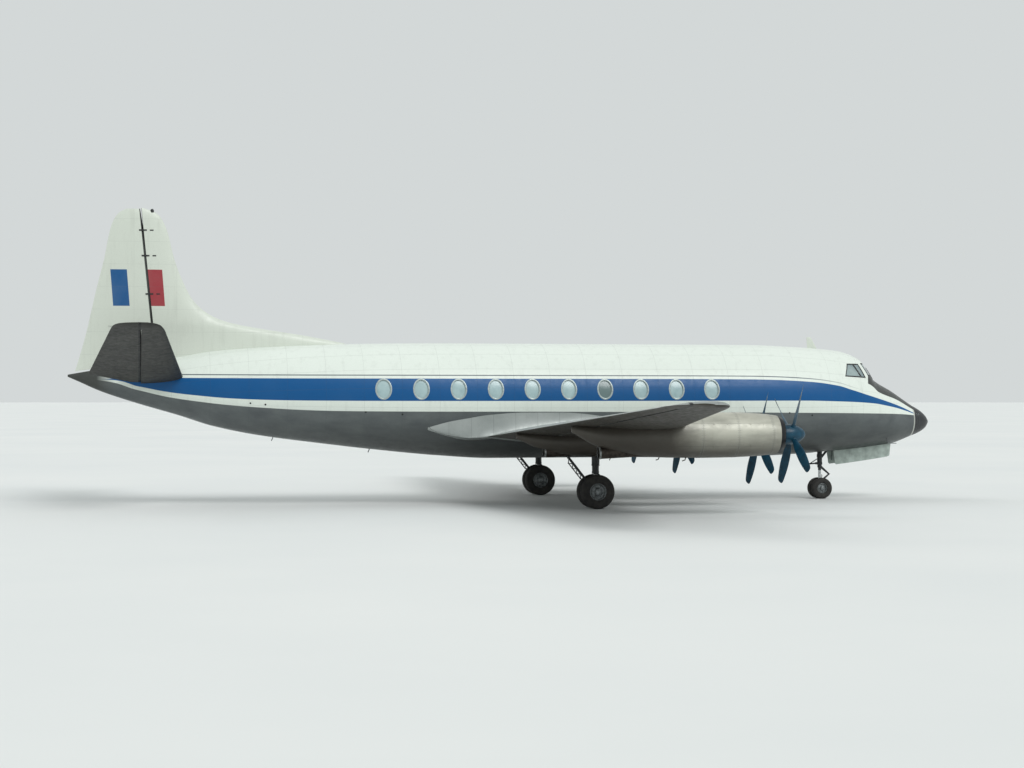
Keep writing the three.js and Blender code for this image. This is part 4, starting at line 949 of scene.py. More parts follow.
def build_fuselage():
    radome = body_solid("radome_shell", NOSE_TIP, RADOME_BASE + SEAM, step=0.02)
    finish_piece(radome, "radome_shell", "radome", ["radome"])

    nose = body_solid("nose", RADOME_BASE, NOSE_JOINT + SEAM, step=0.06)
    glass_room = glazing_layer("glass_room", 0.05, -GLASS_THICKNESS - SEAM, SEAM, 0.06)
    boolean(nose, glass_room, "DIFFERENCE")
    bay = Shape().block((ahead(NOSE_BAY["back"]), -NOSE_BAY["half"], 0.8),
                        (ahead(NOSE_BAY["front"]), NOSE_BAY["half"], NOSE_BAY["top"]))
    boolean(nose, bay.object("bay"), "DIFFERENCE")
    boolean(nose, door_opening(DOORS["door_front"]), "DIFFERENCE")
    finish_piece(nose, "nose_skin", "livery", ["fuselage_nose"])
    line_inside(nose)

    centre = body_solid("centre", NOSE_JOINT, TAIL_JOINT + SEAM)
    boolean(centre, window_cutters(), "DIFFERENCE")
    finish_piece(centre, "cabin_skin", "livery", ["fuselage_centre"])

    rear = body_solid("rear", TAIL_JOINT, TAIL_TIP)
    hall = Shape().block((ahead(HALL["back"]), -HALL["half"], HALL["floor"]),
                         (ahead(HALL["front"]), HALL["half"], HALL["ceiling"])).object("hall")
    lining = body_solid("lining", HALL["front"] + 0.5, HALL["back"] - 0.5, -WALL)
    boolean(hall, lining, "INTERSECT")
    boolean(hall, door_opening(DOORS["door_rear"]), "UNION")
    boolean(rear, hall, "DIFFERENCE")
    finish_piece(rear, "rear_skin", "livery", ["fuselage_rear"])
    line_inside(rear)

    rims, panes = window_fittings()
    finish_piece(rims, "cabin_window_rims", "rim")
    finish_piece(panes, "cabin_window_panes", "pane")
    build_glazing()
    build_doors()
    door_frames()


# Flying surfaces. Rows: span, leading edge, trailing edge, thickness ratio
TRAILING_EDGE = 0.005
PROFILE_STEPS = 30
HINGE_SIDES = 32
TIP_BLEND = 0.25  # how far inside a tip its rounding starts
NOSE_STEP = 0.004
NOSE_INSET = 0.001
DEEP = 0.6  # how far a cutting block reaches past a surface


class Surface:
    """A wing, tailplane or fin: rows of sections, a straight hinge line and its place in space."""

    def __init__(self, rows, hinge, root, dihedral=0.0, camber=0.0, upright=False, hinge_parts=1, tip_rows=4):
        self.rows, self.hinge, self.root, self.camber = rows, hinge, root, camber
        self.slope = math.tan(math.radians(dihedral))
        self.upright, self.hinge_parts = upright, hinge_parts
        self.round_from = rows[-tip_rows][0] if tip_rows else rows[-1][0]
        self.curve = sections(self.blend_rows())

    def blend_rows(self):
        """Rows with one added just inside the tip, so that only the tip is rounded."""
        start = self.round_from - TIP_BLEND
        if self.upright or start <= self.rows[0][0]:
            return self.rows
        return [*self.rows, (start, *self.straight(start))]

    def straight(self, span):
        spans = [row[0] for row in self.rows]
        return [float(np.interp(span, spans, [row[i] for row in self.rows])) for i in (1, 2, 3)]

    def edges(self, span):
        if self.upright or span > self.round_from - TIP_BLEND:
            return self.curve(span)
        return self.straight(span)

    def height(self, span):
        return self.root + span * self.slope

    def place(self, x, offset, span):
        return (x, offset, span) if self.upright else (x, span, self.height(span) + offset)

    def half_thickness(self, share, ratio):
        x = min(max(share, 0.0), 1.0)
        series = 0.2969 * math.sqrt(x) - 0.126 * x - 0.3516 * x**2 + 0.2843 * x**3 - 0.1036 * x**4
        return 5 * ratio * series

    def depth(self, share, ratio, chord):
        """Half the thickness at a share of the chord, with the blunt trailing edge."""
        return self.half_thickness(share, ratio) * chord + TRAILING_EDGE * share

    def rise(self, share, chord):
        """Height of the camber line over the chord."""
        return 4 * self.camber * share * (1 - share) * chord

    def ring(self, span, grow=0.0):
        lead, trail, ratio = self.edges(span)
        chord = lead - trail
        points = []
        for i in range(2 * PROFILE_STEPS + 1):
            share = (1 + math.cos(math.pi * i / PROFILE_STEPS)) / 2
            side = 1 if i <= PROFILE_STEPS else -1
            x = ahead(lead - share * chord) + grow * (1 - 2 * share)
            thick = self.depth(share, ratio, chord) + (0 if i == PROFILE_STEPS else grow)
            points.append(self.place(x, self.rise(share, chord) + side * thick, span))
        return points

    def solid(self, name, step=0.25, grow=0.0):
        low, high = self.rows[0][0], self.rows[-1][0]
        spans = list(np.arange(low, self.round_from, step))
        spans += list(np.linspace(self.round_from, high, 14)) if self.round_from < high else [high]
        return Shape().skin([self.ring(span, grow) for span in spans]).object(name)

    def hinge_at(self, span):
        (span_a, x_a), (span_b, x_b) = self.hinge
        return x_a + (x_b - x_a) * (span - span_a) / (span_b - span_a)

    def hinge_radius(self, span):
        lead, trail, ratio = self.straight(span)
        share = (lead - self.hinge_at(span)) / (lead - trail)
        return self.depth(share, ratio, lead - trail)

    def hinge_ends(self):
        ends = []
        for span, x in self.hinge:
            lead, trail, _ = self.straight(span)
            share = (lead - x) / (lead - trail)
            ends.append(Vector(self.place(ahead(x), self.rise(share, lead - trail), span)))
        return ends

    def hinge_point(self, span):
        start, end = self.hinge_ends()
        (span_a, _), (span_b, _) = self.hinge
        return start.lerp(end, (span - span_a) / (span_b - span_a))

    def square(self, span, points):
        """Slides points along the span until they lie in the plane square to the hinge line."""
        start, end = self.hinge_ends()
        axis = (end - start).normalized()
        centre = self.hinge_point(span)
        way = Vector(self.place(0, 0, 1)) - Vector(self.place(0, 0, 0))
        return [Vector(p) + way * ((centre - Vector(p)).dot(axis) / way.dot(axis)) for p in points]

    def nose(self, low, high, extra):
        rings = []
        out = Vector(self.place(0, 1, 0)) - Vector(self.place(0, 0, 0))
        for span in np.linspace(low + NOSE_INSET, high - NOSE_INSET, self.hinge_parts + 1):
            centre = self.hinge_point(span)
            radius = self.hinge_radius(span) + extra
            section = [centre + out * radius * math.sin(turn) + Vector((radius * math.cos(turn), 0, 0))
                       for turn in turns(HINGE_SIDES)]
            rings.append(self.square(span, section))
        return Shape().skin(rings).object("hinge_nose")

    def behind(self, low, high, lead):
        rings = []
        for span in (low, high):
            front = ahead(self.hinge_at(span)) + lead
            rear = ahead(self.straight(span)[1]) - DEEP
            corners = [(front, DEEP), (rear, DEEP), (rear, -DEEP), (front, -DEEP)]
            rings.append(self.square(span, [self.place(x, offset, span) for x, offset in corners]))
        return Shape().skin(rings).object("behind_hinge")

    def moving(self, whole, low, high, swing):
        """A moving surface, and the cut that leaves it free to swing."""
        inner, outer = low + MOVING_GAP, high - MOVING_GAP
        piece = boolean(self.behind(inner, outer, -2 * NOSE_STEP), whole, "INTERSECT", keep=True)
        boolean(piece, self.nose(inner, outer, -NOSE_STEP), "UNION")
        radius = max(self.hinge_radius(low), self.hinge_radius(high))
        lip = radius * math.sin(math.radians(swing)) + MOVING_GAP
        cut = boolean(self.behind(low, high, lip), self.nose(low, high, MOVING_GAP), "UNION")
        return piece, cut


WING = Surface([(0.3, 2.310, -2.740, 0.155), (13.5, 0.530, -0.950, 0.13), (13.95, 0.420, -0.900, 0.125),
                (14.18, 0.250, -0.820, 0.11), (14.28, 0.0, -0.640, 0.06)],
               WING_HINGE, 1.770, dihedral=4.2, camber=0.018)
TAILPLANE = Surface([(0.06, -10.720, -13.440, 0.11), (4.9, -11.330, -12.690, 0.1),
                     (5.35, -11.440, -12.600, 0.095), (5.53, -11.600, -12.480, 0.08),
                     (5.6, -11.840, -12.300, 0.05)],
                    TAIL_HINGE, 3.350, dihedral=14.5)
FIN = Surface([(3.5, -6.150, -13.730, 0.045), (4.44, -6.250, -13.453, 0.046), (4.58, -6.850, -13.418, 0.050),
               (4.7, -7.500, -13.385, 0.055), (4.85, -8.500, -13.350, 0.065),
               (5.02, -9.450, -13.310, 0.082), (5.17, -9.900, -13.280, 0.092),
               (5.45, -10.330, -13.215, 0.105), (5.8, -10.610, -13.140, 0.11), (6.78, -11.020, -12.900, 0.11),
               (7.5, -11.200, -12.760, 0.11), (7.85, -11.350, -12.640, 0.11), (8.05, -11.540, -12.480, 0.1),
               (8.16, -11.850, -12.250, 0.06)],
              FIN_HINGE, 0.0, upright=True, hinge_parts=4, tip_rows=0)

# Columns: name, inner end, outer end, largest swing in degrees, body
WING_MOVERS = [("flap_inner", 1.7, 3.08, 40, "flaps"), ("flap_middle", 4.18, 6.87, 40, "flaps"),
               ("flap_outer", 7.73, 9.12, 40, "flaps"), ("aileron", 9.2, 13.45, 20, "aileron")]


# Fillet at the wing's root. Columns: ahead, top on the skin, span of the outer edge, its height
FILLET = [(1.9, 2.100, 1.640, 2.080), (1.0, 2.400, 1.665, 2.290), (-0.5, 2.550, 1.685, 2.200),
          (-1.5, 2.550, 1.685, 2.080), (-2.55, 2.480, 1.680, 1.888), (-3.04, 2.400, 1.560, 1.870),
          (-3.6, 2.300, 1.440, 1.950), (-4.18, 2.140, 1.345, 2.090)]
FILLET_EDGE, FILLET_INSIDE, FILLET_DROP = 0.012, 1.0, 0.11


def root_fillet():
    section = sections(FILLET)
    quarter = np.linspace(0, math.pi / 2, 17)
    rings = []
    for at in np.linspace(FILLET[0][0], FILLET[-1][0], 62):
        top, span, height = section(at)
        reach, drop = span - skin_at_height(at, top)[1], top - height
        arc = [(span - reach * math.cos(turn), top - drop * math.sin(turn)) for turn in quarter]
        outline = [(FILLET_INSIDE, top), *arc, (span, height - FILLET_EDGE),
                   (FILLET_INSIDE, height - FILLET_DROP)]
        rings.append([(ahead(at), y, z) for y, z in outline])
    return Shape().skin(rings).object("root_fillet")


def build_wing():
    whole = WING.solid("wing_whole")
    wing = boolean(copy_of(whole, "wing_panel"), root_fillet(), "UNION")
    for name, low, high, swing, body in WING_MOVERS:
        piece, cut = WING.moving(whole, low, high, swing)
        boolean(wing, cut, "DIFFERENCE")
        finish_pair(piece, name + "_sheet", "wing", [name], body)
    finish_pair(wing, "wing_sheet", "wing", ["wing"])
    discard(whole)


ELEVATOR = {"inner": 0.57, "inner_trailing": 1.0, "outer": 5.2, "swing": 25}


def build_tailplane():
    whole = TAILPLANE.solid("tailplane_whole", 0.2)
    piece, cut = TAILPLANE.moving(whole, ELEVATOR["inner"], ELEVATOR["outer"], ELEVATOR["swing"])
    hinge, rear = ahead(TAIL_HINGE[0][1]) - 0.12, ahead(-14.2)
    reach = ELEVATOR["inner_trailing"] + 0.33
    path = [(hinge, -0.01), (hinge, ELEVATOR["inner"]), (rear, reach), (rear, -0.01)]
    boolean(piece, Shape().plate(path, "z", 2.5, 5.0).object("rudder_path"), "DIFFERENCE")
    boolean(whole, cut, "DIFFERENCE")
    boolean(whole, TAILPLANE.behind(-0.2, ELEVATOR["inner"] + 0.001, 0.06), "DIFFERENCE")
    finish_pair(piece, "elevator_sheet", "tailplane", ["elevator"], "elevator")
    finish_pair(whole, "tailplane_sheet", "tailplane", ["tailplane"])


RUDDER = {"bottom_front": 4.02, "bottom_rear": 3.69, "top": 8.16, "swing": 22}


def build_fin():
    whole = FIN.solid("fin_whole", 0.07)
    piece, cut = FIN.moving(whole, 3.56, RUDDER["top"] + 0.06, RUDDER["swing"])
    front, rear = ahead(-11.0), ahead(-14.0)
    lower = [(front, 2.5), (front, RUDDER["bottom_front"] + 0.05),
             (rear, RUDDER["bottom_rear"] - 0.06), (rear, 2.5)]
    boolean(piece, Shape().plate(lower, "y", -0.5, 0.5).object("under"), "DIFFERENCE")
    top = Shape().block((rear, -0.5, RUDDER["top"] - 0.02), (front, 0.5, RUDDER["top"] + 0.5))
    boolean(piece, top.object("over_top"), "DIFFERENCE")
    boolean(whole, cut, "DIFFERENCE")
    finish_piece(piece, "rudder_sheet", "tail", ["rudder"], "rudder")
    finish_piece(whole, "fin_sheet", "tail", ["fin"])


# Engines
PROP = {"radius": 1.525, "blades": 4, "spinner": 0.262, "length": 0.61, "plane": 0.29, "parked": 35}
INTAKE = {"radius": 0.372, "depth": 0.42}
ENGINE = {"radius": 0.43, "length": 1.9, "gearcase": 0.19, "shaft": 0.045}
JET_PIPE = {"radius": 0.175, "bore": 0.14, "depth": 0.32, "way_out": 0.7}


def nacelle_skin(nacelle):
    section = sections(nacelle["rows"])
    front, back = nacelle["rows"][0][0], nacelle["rows"][-1][0]
    places = [*np.linspace(front, front - 0.3, 12), *np.linspace(front - 0.36, back, 60)]
    rings = []
    for at in places:
        top, bottom, half = section(at)
        rings.append([(ahead(at), nacelle["span"] + half * math.cos(turn),
                       (top + bottom) / 2 + (top - bottom) / 2 * math.sin(turn)) for turn in turns(72)])
    end = rings[-1]
    x, side, height = [sum(point[i] for point in end) / len(end) for i in range(3)]
    # Columns: how far behind the last section, its size as a share
    for behind, share in ((0.03, 0.9), (0.055, 0.65), (0.07, 0.25)):
        rings.append([(x - behind, side + (y - side) * share, height + (z - height) * share)
                      for _, y, z in end])
    return Shape().skin(rings).object("cowling")


def engine_bay(nacelle):
    back, radius = -ENGINE["length"] - SEAM, ENGINE["radius"] + SEAM
    profile = [(0.001, back), (radius, back), (radius, 0), (INTAKE["radius"], 0),
               (INTAKE["radius"], INTAKE["depth"] - 0.06), (INTAKE["radius"] + 0.026, INTAKE["depth"] + 0.05),
               (0.001, INTAKE["depth"] + 0.05)]
    centre = (ahead(nacelle["lip"] - INTAKE["depth"]), nacelle["span"], nacelle["thrust"])
    return Shape().lathe(profile, "x", centre, 72).object("engine_bay")


def jet_ends(nacelle):
    return [Vector((ahead(at), nacelle["span"], z)) for at, z in nacelle["jet"]]


def jet_bore(nacelle):
    start, end = jet_ends(nacelle)
    way = (end - start).normalized()
    path = [end - way * JET_PIPE["depth"], end + way * JET_PIPE["way_out"]]
    return Shape().tube(path, JET_PIPE["bore"], 40).object("jet_bore")


def intake_lip(nacelle):
    """Rounded lip of the intake, in dark engine metal."""
    centre = (ahead(nacelle["lip"]), nacelle["span"], nacelle["thrust"])
    profile = []
    for i in range(17):
        angle = math.pi * (i / 16)
        profile.append((0.4115 + 0.0165 * math.cos(angle), -0.018 + 0.018 * math.sin(angle)))
    profile += [(0.393, -0.1), (0.428, -0.05)]
    return Shape().lathe(profile, "x", centre, 72, closed=True)


def blade_rings():
    """Sections of one blade that points up, from root to tip, as the disc turns about X."""
    # Columns: radius, chord, thickness, twist from the disc in degrees
    table = [(0.15, 0.096, 0.090, 62), (0.33, 0.130, 0.062, 56), (0.62, 0.215, 0.032, 44),
             (1.0, 0.255, 0.021, 33), (1.4, 0.205, 0.013, 26), (1.5, 0.15, 0.010, 24.3),
             (PROP["radius"], 0.06, 0.006, 24)]
    section = sections(table)
    rings = []
    for radius in [*np.linspace(0.15, 1.4, 22), *np.linspace(1.42, PROP["radius"], 8)]:
        chord, thick, twist = section(radius)
        sin, cos = math.sin(math.radians(twist)), math.cos(math.radians(twist))
        round_share = max(0.0, min(1.0, (0.42 - radius) / 0.22))
        ring = []
        for angle in turns(28):
            u = chord / 2 * math.cos(angle)
            flat = 0.62 + 0.38 * math.cos(angle)  # thicker towards the leading edge
            w = thick / 2 * math.sin(angle) * (round_share + (1 - round_share) * flat)
            w += (1 - round_share) * 0.12 * thick * (1 - math.cos(angle) ** 2)
            ring.append((u * sin + w * cos, u * cos - w * sin, radius))
        rings.append(ring)
    return rings


def propeller_shapes(nacelle, sign):
    """Spinner, back plate ring and four blades at one engine."""
    centre = Vector((ahead(nacelle["lip"] + PROP["plane"]), sign * nacelle["span"], nacelle["thrust"]))
    base = 0.045 - PROP["plane"]
    tip = base + PROP["length"]
    spinner = Shape()
    profile = [(ENGINE["shaft"], base - 0.12), (ENGINE["shaft"], base), (0.240, base), (0.252, base + 0.008),
               (0.254, base + 0.03), (0.258, base + 0.034), (0.259, base + 0.10)]
    for i in range(1, 22):
        share = i / 22
        reach = base + 0.10 + (tip - base - 0.10) * share
        profile.append((PROP["spinner"] * (1 - share**2.2) ** 0.62 * 0.99, reach))
    profile.append((0.004, tip))
    spinner.lathe(profile, "x", centre, 64)
    blades = Shape()
    rings = blade_rings()
    for i in range(PROP["blades"]):
        turn = math.radians(PROP["parked"] + 360 * i / PROP["blades"])
        cos, sin = math.cos(turn), math.sin(turn)

        def carried(x, y, z):
            return centre + Vector((x, y * cos - z * sin, y * sin + z * cos))
        blades.skin([[carried(*point) for point in ring] for ring in rings])
        collar = [(0.070, 0.205), (0.070, 0.262), (0.062, 0.275), (0.050, 0.278)]
        around = np.linspace(0, 2 * math.pi, 25)[:-1]
        spinner.skin([[carried(r * math.cos(a), r * math.sin(a), h) for a in around] for r, h in collar])
    return spinner, blades


def build_engines():
    for name, nacelle in NACELLES.items():
        skin = nacelle_skin(nacelle)
        boolean(skin, engine_bay(nacelle), "DIFFERENCE")
        boolean(skin, jet_bore(nacelle), "DIFFERENCE")
        finish_pair(skin, f"cowling_{name}", "cowling", [f"nacelle_{name}"])
        start, end = jet_ends(nacelle)
        pipe = Shape().tube([start, end], [JET_PIPE["radius"], JET_PIPE["radius"] * 0.94], 48).object("pipe")
        boolean(pipe, jet_bore(nacelle), "DIFFERENCE")
        finish_pair(pipe, f"jet_pipe_{name}_shell", "pipe", [f"jet_pipe_{name}"])
        finish_pair(intake_lip(nacelle), f"intake_lip_{name}", "dark")
        for side, sign in SIDES.items():
            spinner, blades = propeller_shapes(nacelle, sign)
            body = f"propeller_{name}_{side}"
            finish_piece(spinner, f"spinner_{name}_{side}", "propeller", [body], body)
            finish_piece(blades, f"blades_{name}_{side}", "propeller", body=body)


# Landing gear
MAIN_GEAR = {"span": 3.63, "radius": 0.457, "width": 0.27, "spacing": 0.215, "rim": 0.228, "axle": 0.045}
NOSE_GEAR = {"at": 7.68, "radius": 0.305, "width": 0.195, "spacing": 0.16, "rim": 0.15, "axle": 0.032}


def tyre_profile(gear):
    """Outline of a tyre's section, with four grooves in its tread."""
    half, rim = gear["width"] / 2, gear["rim"] + SEAM
    depth = gear["radius"] - rim
    # Columns: share of the depth, share of the half width
    side = [(0.0, 0.72), (0.04, 0.80), (0.12, 0.90), (0.28, 0.98), (0.42, 1.0), (0.6, 0.985), (0.76, 0.93),
            (0.88, 0.83), (0.95, 0.70), (0.985, 0.56)]
    outline = [(rim + deep * depth, wide * half) for deep, wide in side]
    groove = 0.006 * gear["radius"] / 0.457
    for middle in (0.36, 0.12):
        for offset, low in ((0.045, 0), (0.03, 1), (-0.03, 1), (-0.045, 0)):
            outline.append((gear["radius"] - low * groove - 0.0004 * middle, (middle + offset) * half))
    back = [(radius, -wide) for radius, wide in reversed(outline)]
    return outline + back


RIM_SHARE = 0.36  # half a rim's width as a share of its tyre's


def hub_profile(gear, side):
    """Outline of one wheel half from the axle out, seen along the axle."""
    half = gear["width"] * RIM_SHARE
    inner, outer = gear["spacing"] - half, gear["spacing"] + half
    rim, axle = gear["rim"], gear["axle"]
    rows = [(axle, inner), (rim * 0.86, inner), (rim, inner + 0.004), (rim, outer),
            (rim * 0.95, outer + 0.004), (rim * 0.90, outer - 0.004), (rim * 0.86, outer - 0.03),
            (rim * 0.78, outer - 0.045),
            (rim * 0.52, outer - 0.036), (rim * 0.44, outer - 0.022), (rim * 0.38, outer - 0.004),
            (rim * 0.36, outer + 0.016), (rim * 0.28, outer + 0.022), (0.002, outer + 0.022)]
    return [(radius, side * y) for radius, y in rows]


def wheel_pairs():
    """Columns: name, gear, place along X, span, body, CAD nodes of the hubs and of the tyres."""
    main = [(f"main_{side}", MAIN_GEAR, ahead(0), sign * MAIN_GEAR["span"], f"main_wheels_{side}",
             [f"main_hubs_{side}", f"main_tyre_outer_{side}", f"main_tyre_inner_{side}"])
            for side, sign in SIDES.items()]
    nose = ("nose", NOSE_GEAR, ahead(NOSE_GEAR["at"]), 0, "nose_wheels",
            ["nose_hubs", "nose_tyre_left", "nose_tyre_right"])
    return [*main, nose]


def build_wheels():
    """Twin wheels on each axle: hubs as one piece, tyres as one piece."""
    for name, gear, x, span, body, nodes in wheel_pairs():
        hubs, tyres = Shape(), Shape()
        height, reach = gear["radius"], gear["spacing"]
        for side in (1, -1):
            hubs.lathe(hub_profile(gear, side), "y", (x, span, height), 64)
            tyres.lathe(tyre_profile(gear), "y", (x, span + side * reach, height), 96, closed=True)
        hubs.lathe([(gear["axle"], -reach), (gear["axle"], reach)], "y", (x, span, height), 24)
        finish_piece(hubs, f"{name}_wheels", "wheel", nodes[:1], body)
        finish_piece(tyres, f"{name}_tyres", "tyre", nodes[1:], body)


def build_wheel_bolts():
    """Tie bolts round each wheel's outer web."""
    for name, gear, x, span, body, _ in wheel_pairs():
        spots = []
        for side in (1, -1):
            y = span + side * (gear["spacing"] + gear["width"] * RIM_SHARE - 0.041)
            spots += [((x + u, y, gear["radius"] + v), (0, side, 0))
                      for u, v in circle(gear["rim"] * 0.66, 10)]
        bolts = repeated("bolts", spots, "fastener", sides=6, radius=gear["rim"] * 0.05,
                         top_radius=gear["rim"] * 0.045, height=0.014)
        finish_piece(bolts, f"{name}_wheel_bolts", "fastener", body=body)


def cross_pin(shape, x, span, height, half, radius, sides):
    shape.tube([(x, span - half, height), (x, span + half, height)], radius, sides)


def axle_sleeve(shape, gear, place, radii, bevel, steps):
    """Sleeve between two wheels. Radii are those of its bore, its bevelled ends and its outside."""
    bore, end, outside = radii
    half = gear["spacing"] - gear["width"] / 2 - 0.02
    side = [(bore, half), (end, half), (outside, half - bevel)]
    profile = [(radius, -along) for radius, along in side] + side[::-1]
    shape.lathe(profile, "y", place, steps, closed=True)


CORE = 0.002  # a turned solid closes at this radius


def rod(radius, top, low):
    """Profile of a plain upright rod."""
    return [(CORE, top), (radius, top), (radius, low), (CORE, low)]


def torque_links(shape, x, span, top, bottom, reach):
    """Two tapered links, the upper one forked, that meet at a knee ahead of the leg."""
    knee, inset = (x + reach, (top + bottom) / 2), 0.03
    for height, layers in ((top, ((-0.036, -0.024), (0.024, 0.036))), (bottom, ((-0.022, 0.022),))):
        lean = math.atan2(knee[1] - height, reach - inset)
        across = (-math.sin(lean), math.cos(lean))
        eye = (x + inset, height)
        # Columns: middle of the end, half width there, side
        ends = ((eye, 0.030, -1), (knee, 0.016, -1), (knee, 0.016, 1), (eye, 0.030, 1))
        outline = [(u + way * across[0] * half, v + way * across[1] * half) for (u, v), half, way in ends]
        for low, high in layers:
            shape.plate(outline, "y", span + low, span + high)
        cross_pin(shape, x + inset, span, height, 0.044, 0.017, 14)
    cross_pin(shape, knee[0], span, knee[1], 0.044, 0.015, 14)


def build_main_legs():
    x, span, axle = ahead(0), MAIN_GEAR["span"], MAIN_GEAR["radius"]
    leg = Shape()
    leg.lathe([(CORE, 1.5), (0.104, 1.5), (0.104, 1.178), (0.112, 1.172), (0.112, 1.150), (0.094, 1.142),
               (0.092, 1.00), (0.099, 0.995), (0.099, 0.948), (0.088, 0.938), (0.060, 0.936), (0.060, 0.915),
               (CORE, 0.915)], "z", (x, span, 0), 40)
    leg.lathe([(CORE, 0.60), (0.057, 0.60), (0.062, 0.592), (0.064, 0.50), (CORE, 0.50)],
              "z", (x, span, 0), 32)
    axle_sleeve(leg, MAIN_GEAR, (x, span, axle), (0.047, 0.080, 0.086), 0.008, 36)
    leg.block((x - 0.050, span - 0.048, 0.925), (x + 0.070, span + 0.048, 0.990), 0.01)
    leg.block((x - 0.020, span - 0.046, 0.600), (x + 0.068, span + 0.046, 0.670), 0.01)
    torque_links(leg, x, span, 0.957, 0.636, 0.19)
    leg.tube([(x + 0.088, span, 1.20), (x + 0.088, span, 1.44)], 0.022, 16)
    finish_pair(leg, "main_leg", "gear", ["main_leg"])
    oleo = Shape().lathe(rod(0.052, 0.98, 0.55), "z", (x, span, 0), 36)
    finish_pair(oleo, "main_oleo", "oleo")
    brakes = Shape()
    for side in (1, -1):
        profile = [(0.06, 0.070), (0.150, 0.070), (0.158, 0.076), (0.158, 0.104), (0.150, 0.110),
                   (0.06, 0.110)]
        brakes.lathe([(radius, side * y) for radius, y in profile], "y", (x, span, axle), 48, closed=True)
        for i in range(6):
            turn = 2 * math.pi * (i + 0.5) / 6
            u, z = x + 0.118 * math.cos(turn), axle + 0.118 * math.sin(turn)
            brakes.tube([(u, span + side * 0.052, z), (u, span + side * 0.072, z)], 0.022, 12)
    finish_pair(brakes, "main_brakes", "brake")
    hoses = Shape()
    for side in (1, -1):
        # Columns: behind the leg, beside it, height
        run = [(0.02, 0.110, 1.45), (0.025, 0.113, 1.12), (0.05, 0.100, 0.98), (0.10, 0.062, 0.84),
               (0.105, 0.058, 0.70), (0.075, 0.060, 0.60), (0.055, 0.062, 0.545)]
        hoses.tube([(x - back, span + side * beside, z) for back, beside, z in rounded(run)], 0.008, 8)
    finish_pair(hoses, "main_hoses", "hose")


def rounded(points, parts=6):
    """A smooth path through points."""
    section = sections([(i, *point) for i, point in enumerate(points)])
    last = len(points) - 1
    return [section(at) for at in np.linspace(0, last, parts * last + 1)]


BRACE = {"low": (0.050, 0.500), "high": (0.830, 1.482), "radius": 0.034, "from": 0.30, "to": 0.86,
         "depth": 0.095, "bays": 4}


def build_drag_braces():
    """A thick rod up and aft from each axle to the nacelle, with a flat truss behind it."""
    x, span = ahead(0), MAIN_GEAR["span"]
    (low, foot), (high, head) = BRACE["low"], BRACE["high"]
    length = math.hypot(high - low, head - foot)
    along = ((high - low) / length, (head - foot) / length)
    back = (along[1], -along[0])

    def spot(share, behind):
        reach = share * length
        return (x - low - along[0] * reach - back[0] * behind, span,
                foot + along[1] * reach + back[1] * behind)

    brace = Shape()
    brace.tube([spot(0, 0), spot(1, 0)], BRACE["radius"], 24)
    for share, swell in ((0.085, 0.010), (0.28, 0.007), (0.88, 0.007)):
        brace.tube([spot(share - 0.012, 0), spot(share + 0.012, 0)], BRACE["radius"] + swell, 24)
    bays, first, last = BRACE["bays"], BRACE["from"], BRACE["to"]
    on_rod = [first + (last - first) * i / bays for i in range(bays + 1)]
    behind = [(a + b) / 2 for a, b in zip(on_rod, on_rod[1:])]
    brace.tube([spot(behind[0] - 0.01, BRACE["depth"]), spot(behind[-1] + 0.01, BRACE["depth"])], 0.015, 12)
    for i, share in enumerate(behind):
        for end in (on_rod[i], on_rod[i + 1]):
            brace.tube([spot(end, 0.02), spot(share, BRACE["depth"])], 0.011, 10)
        joint = spot(share, BRACE["depth"])
        cross_pin(brace, joint[0], span, joint[2], 0.024, 0.019, 12)
    finish_pair(brace, "main_drag_brace", "gear", ["main_drag_brace"])


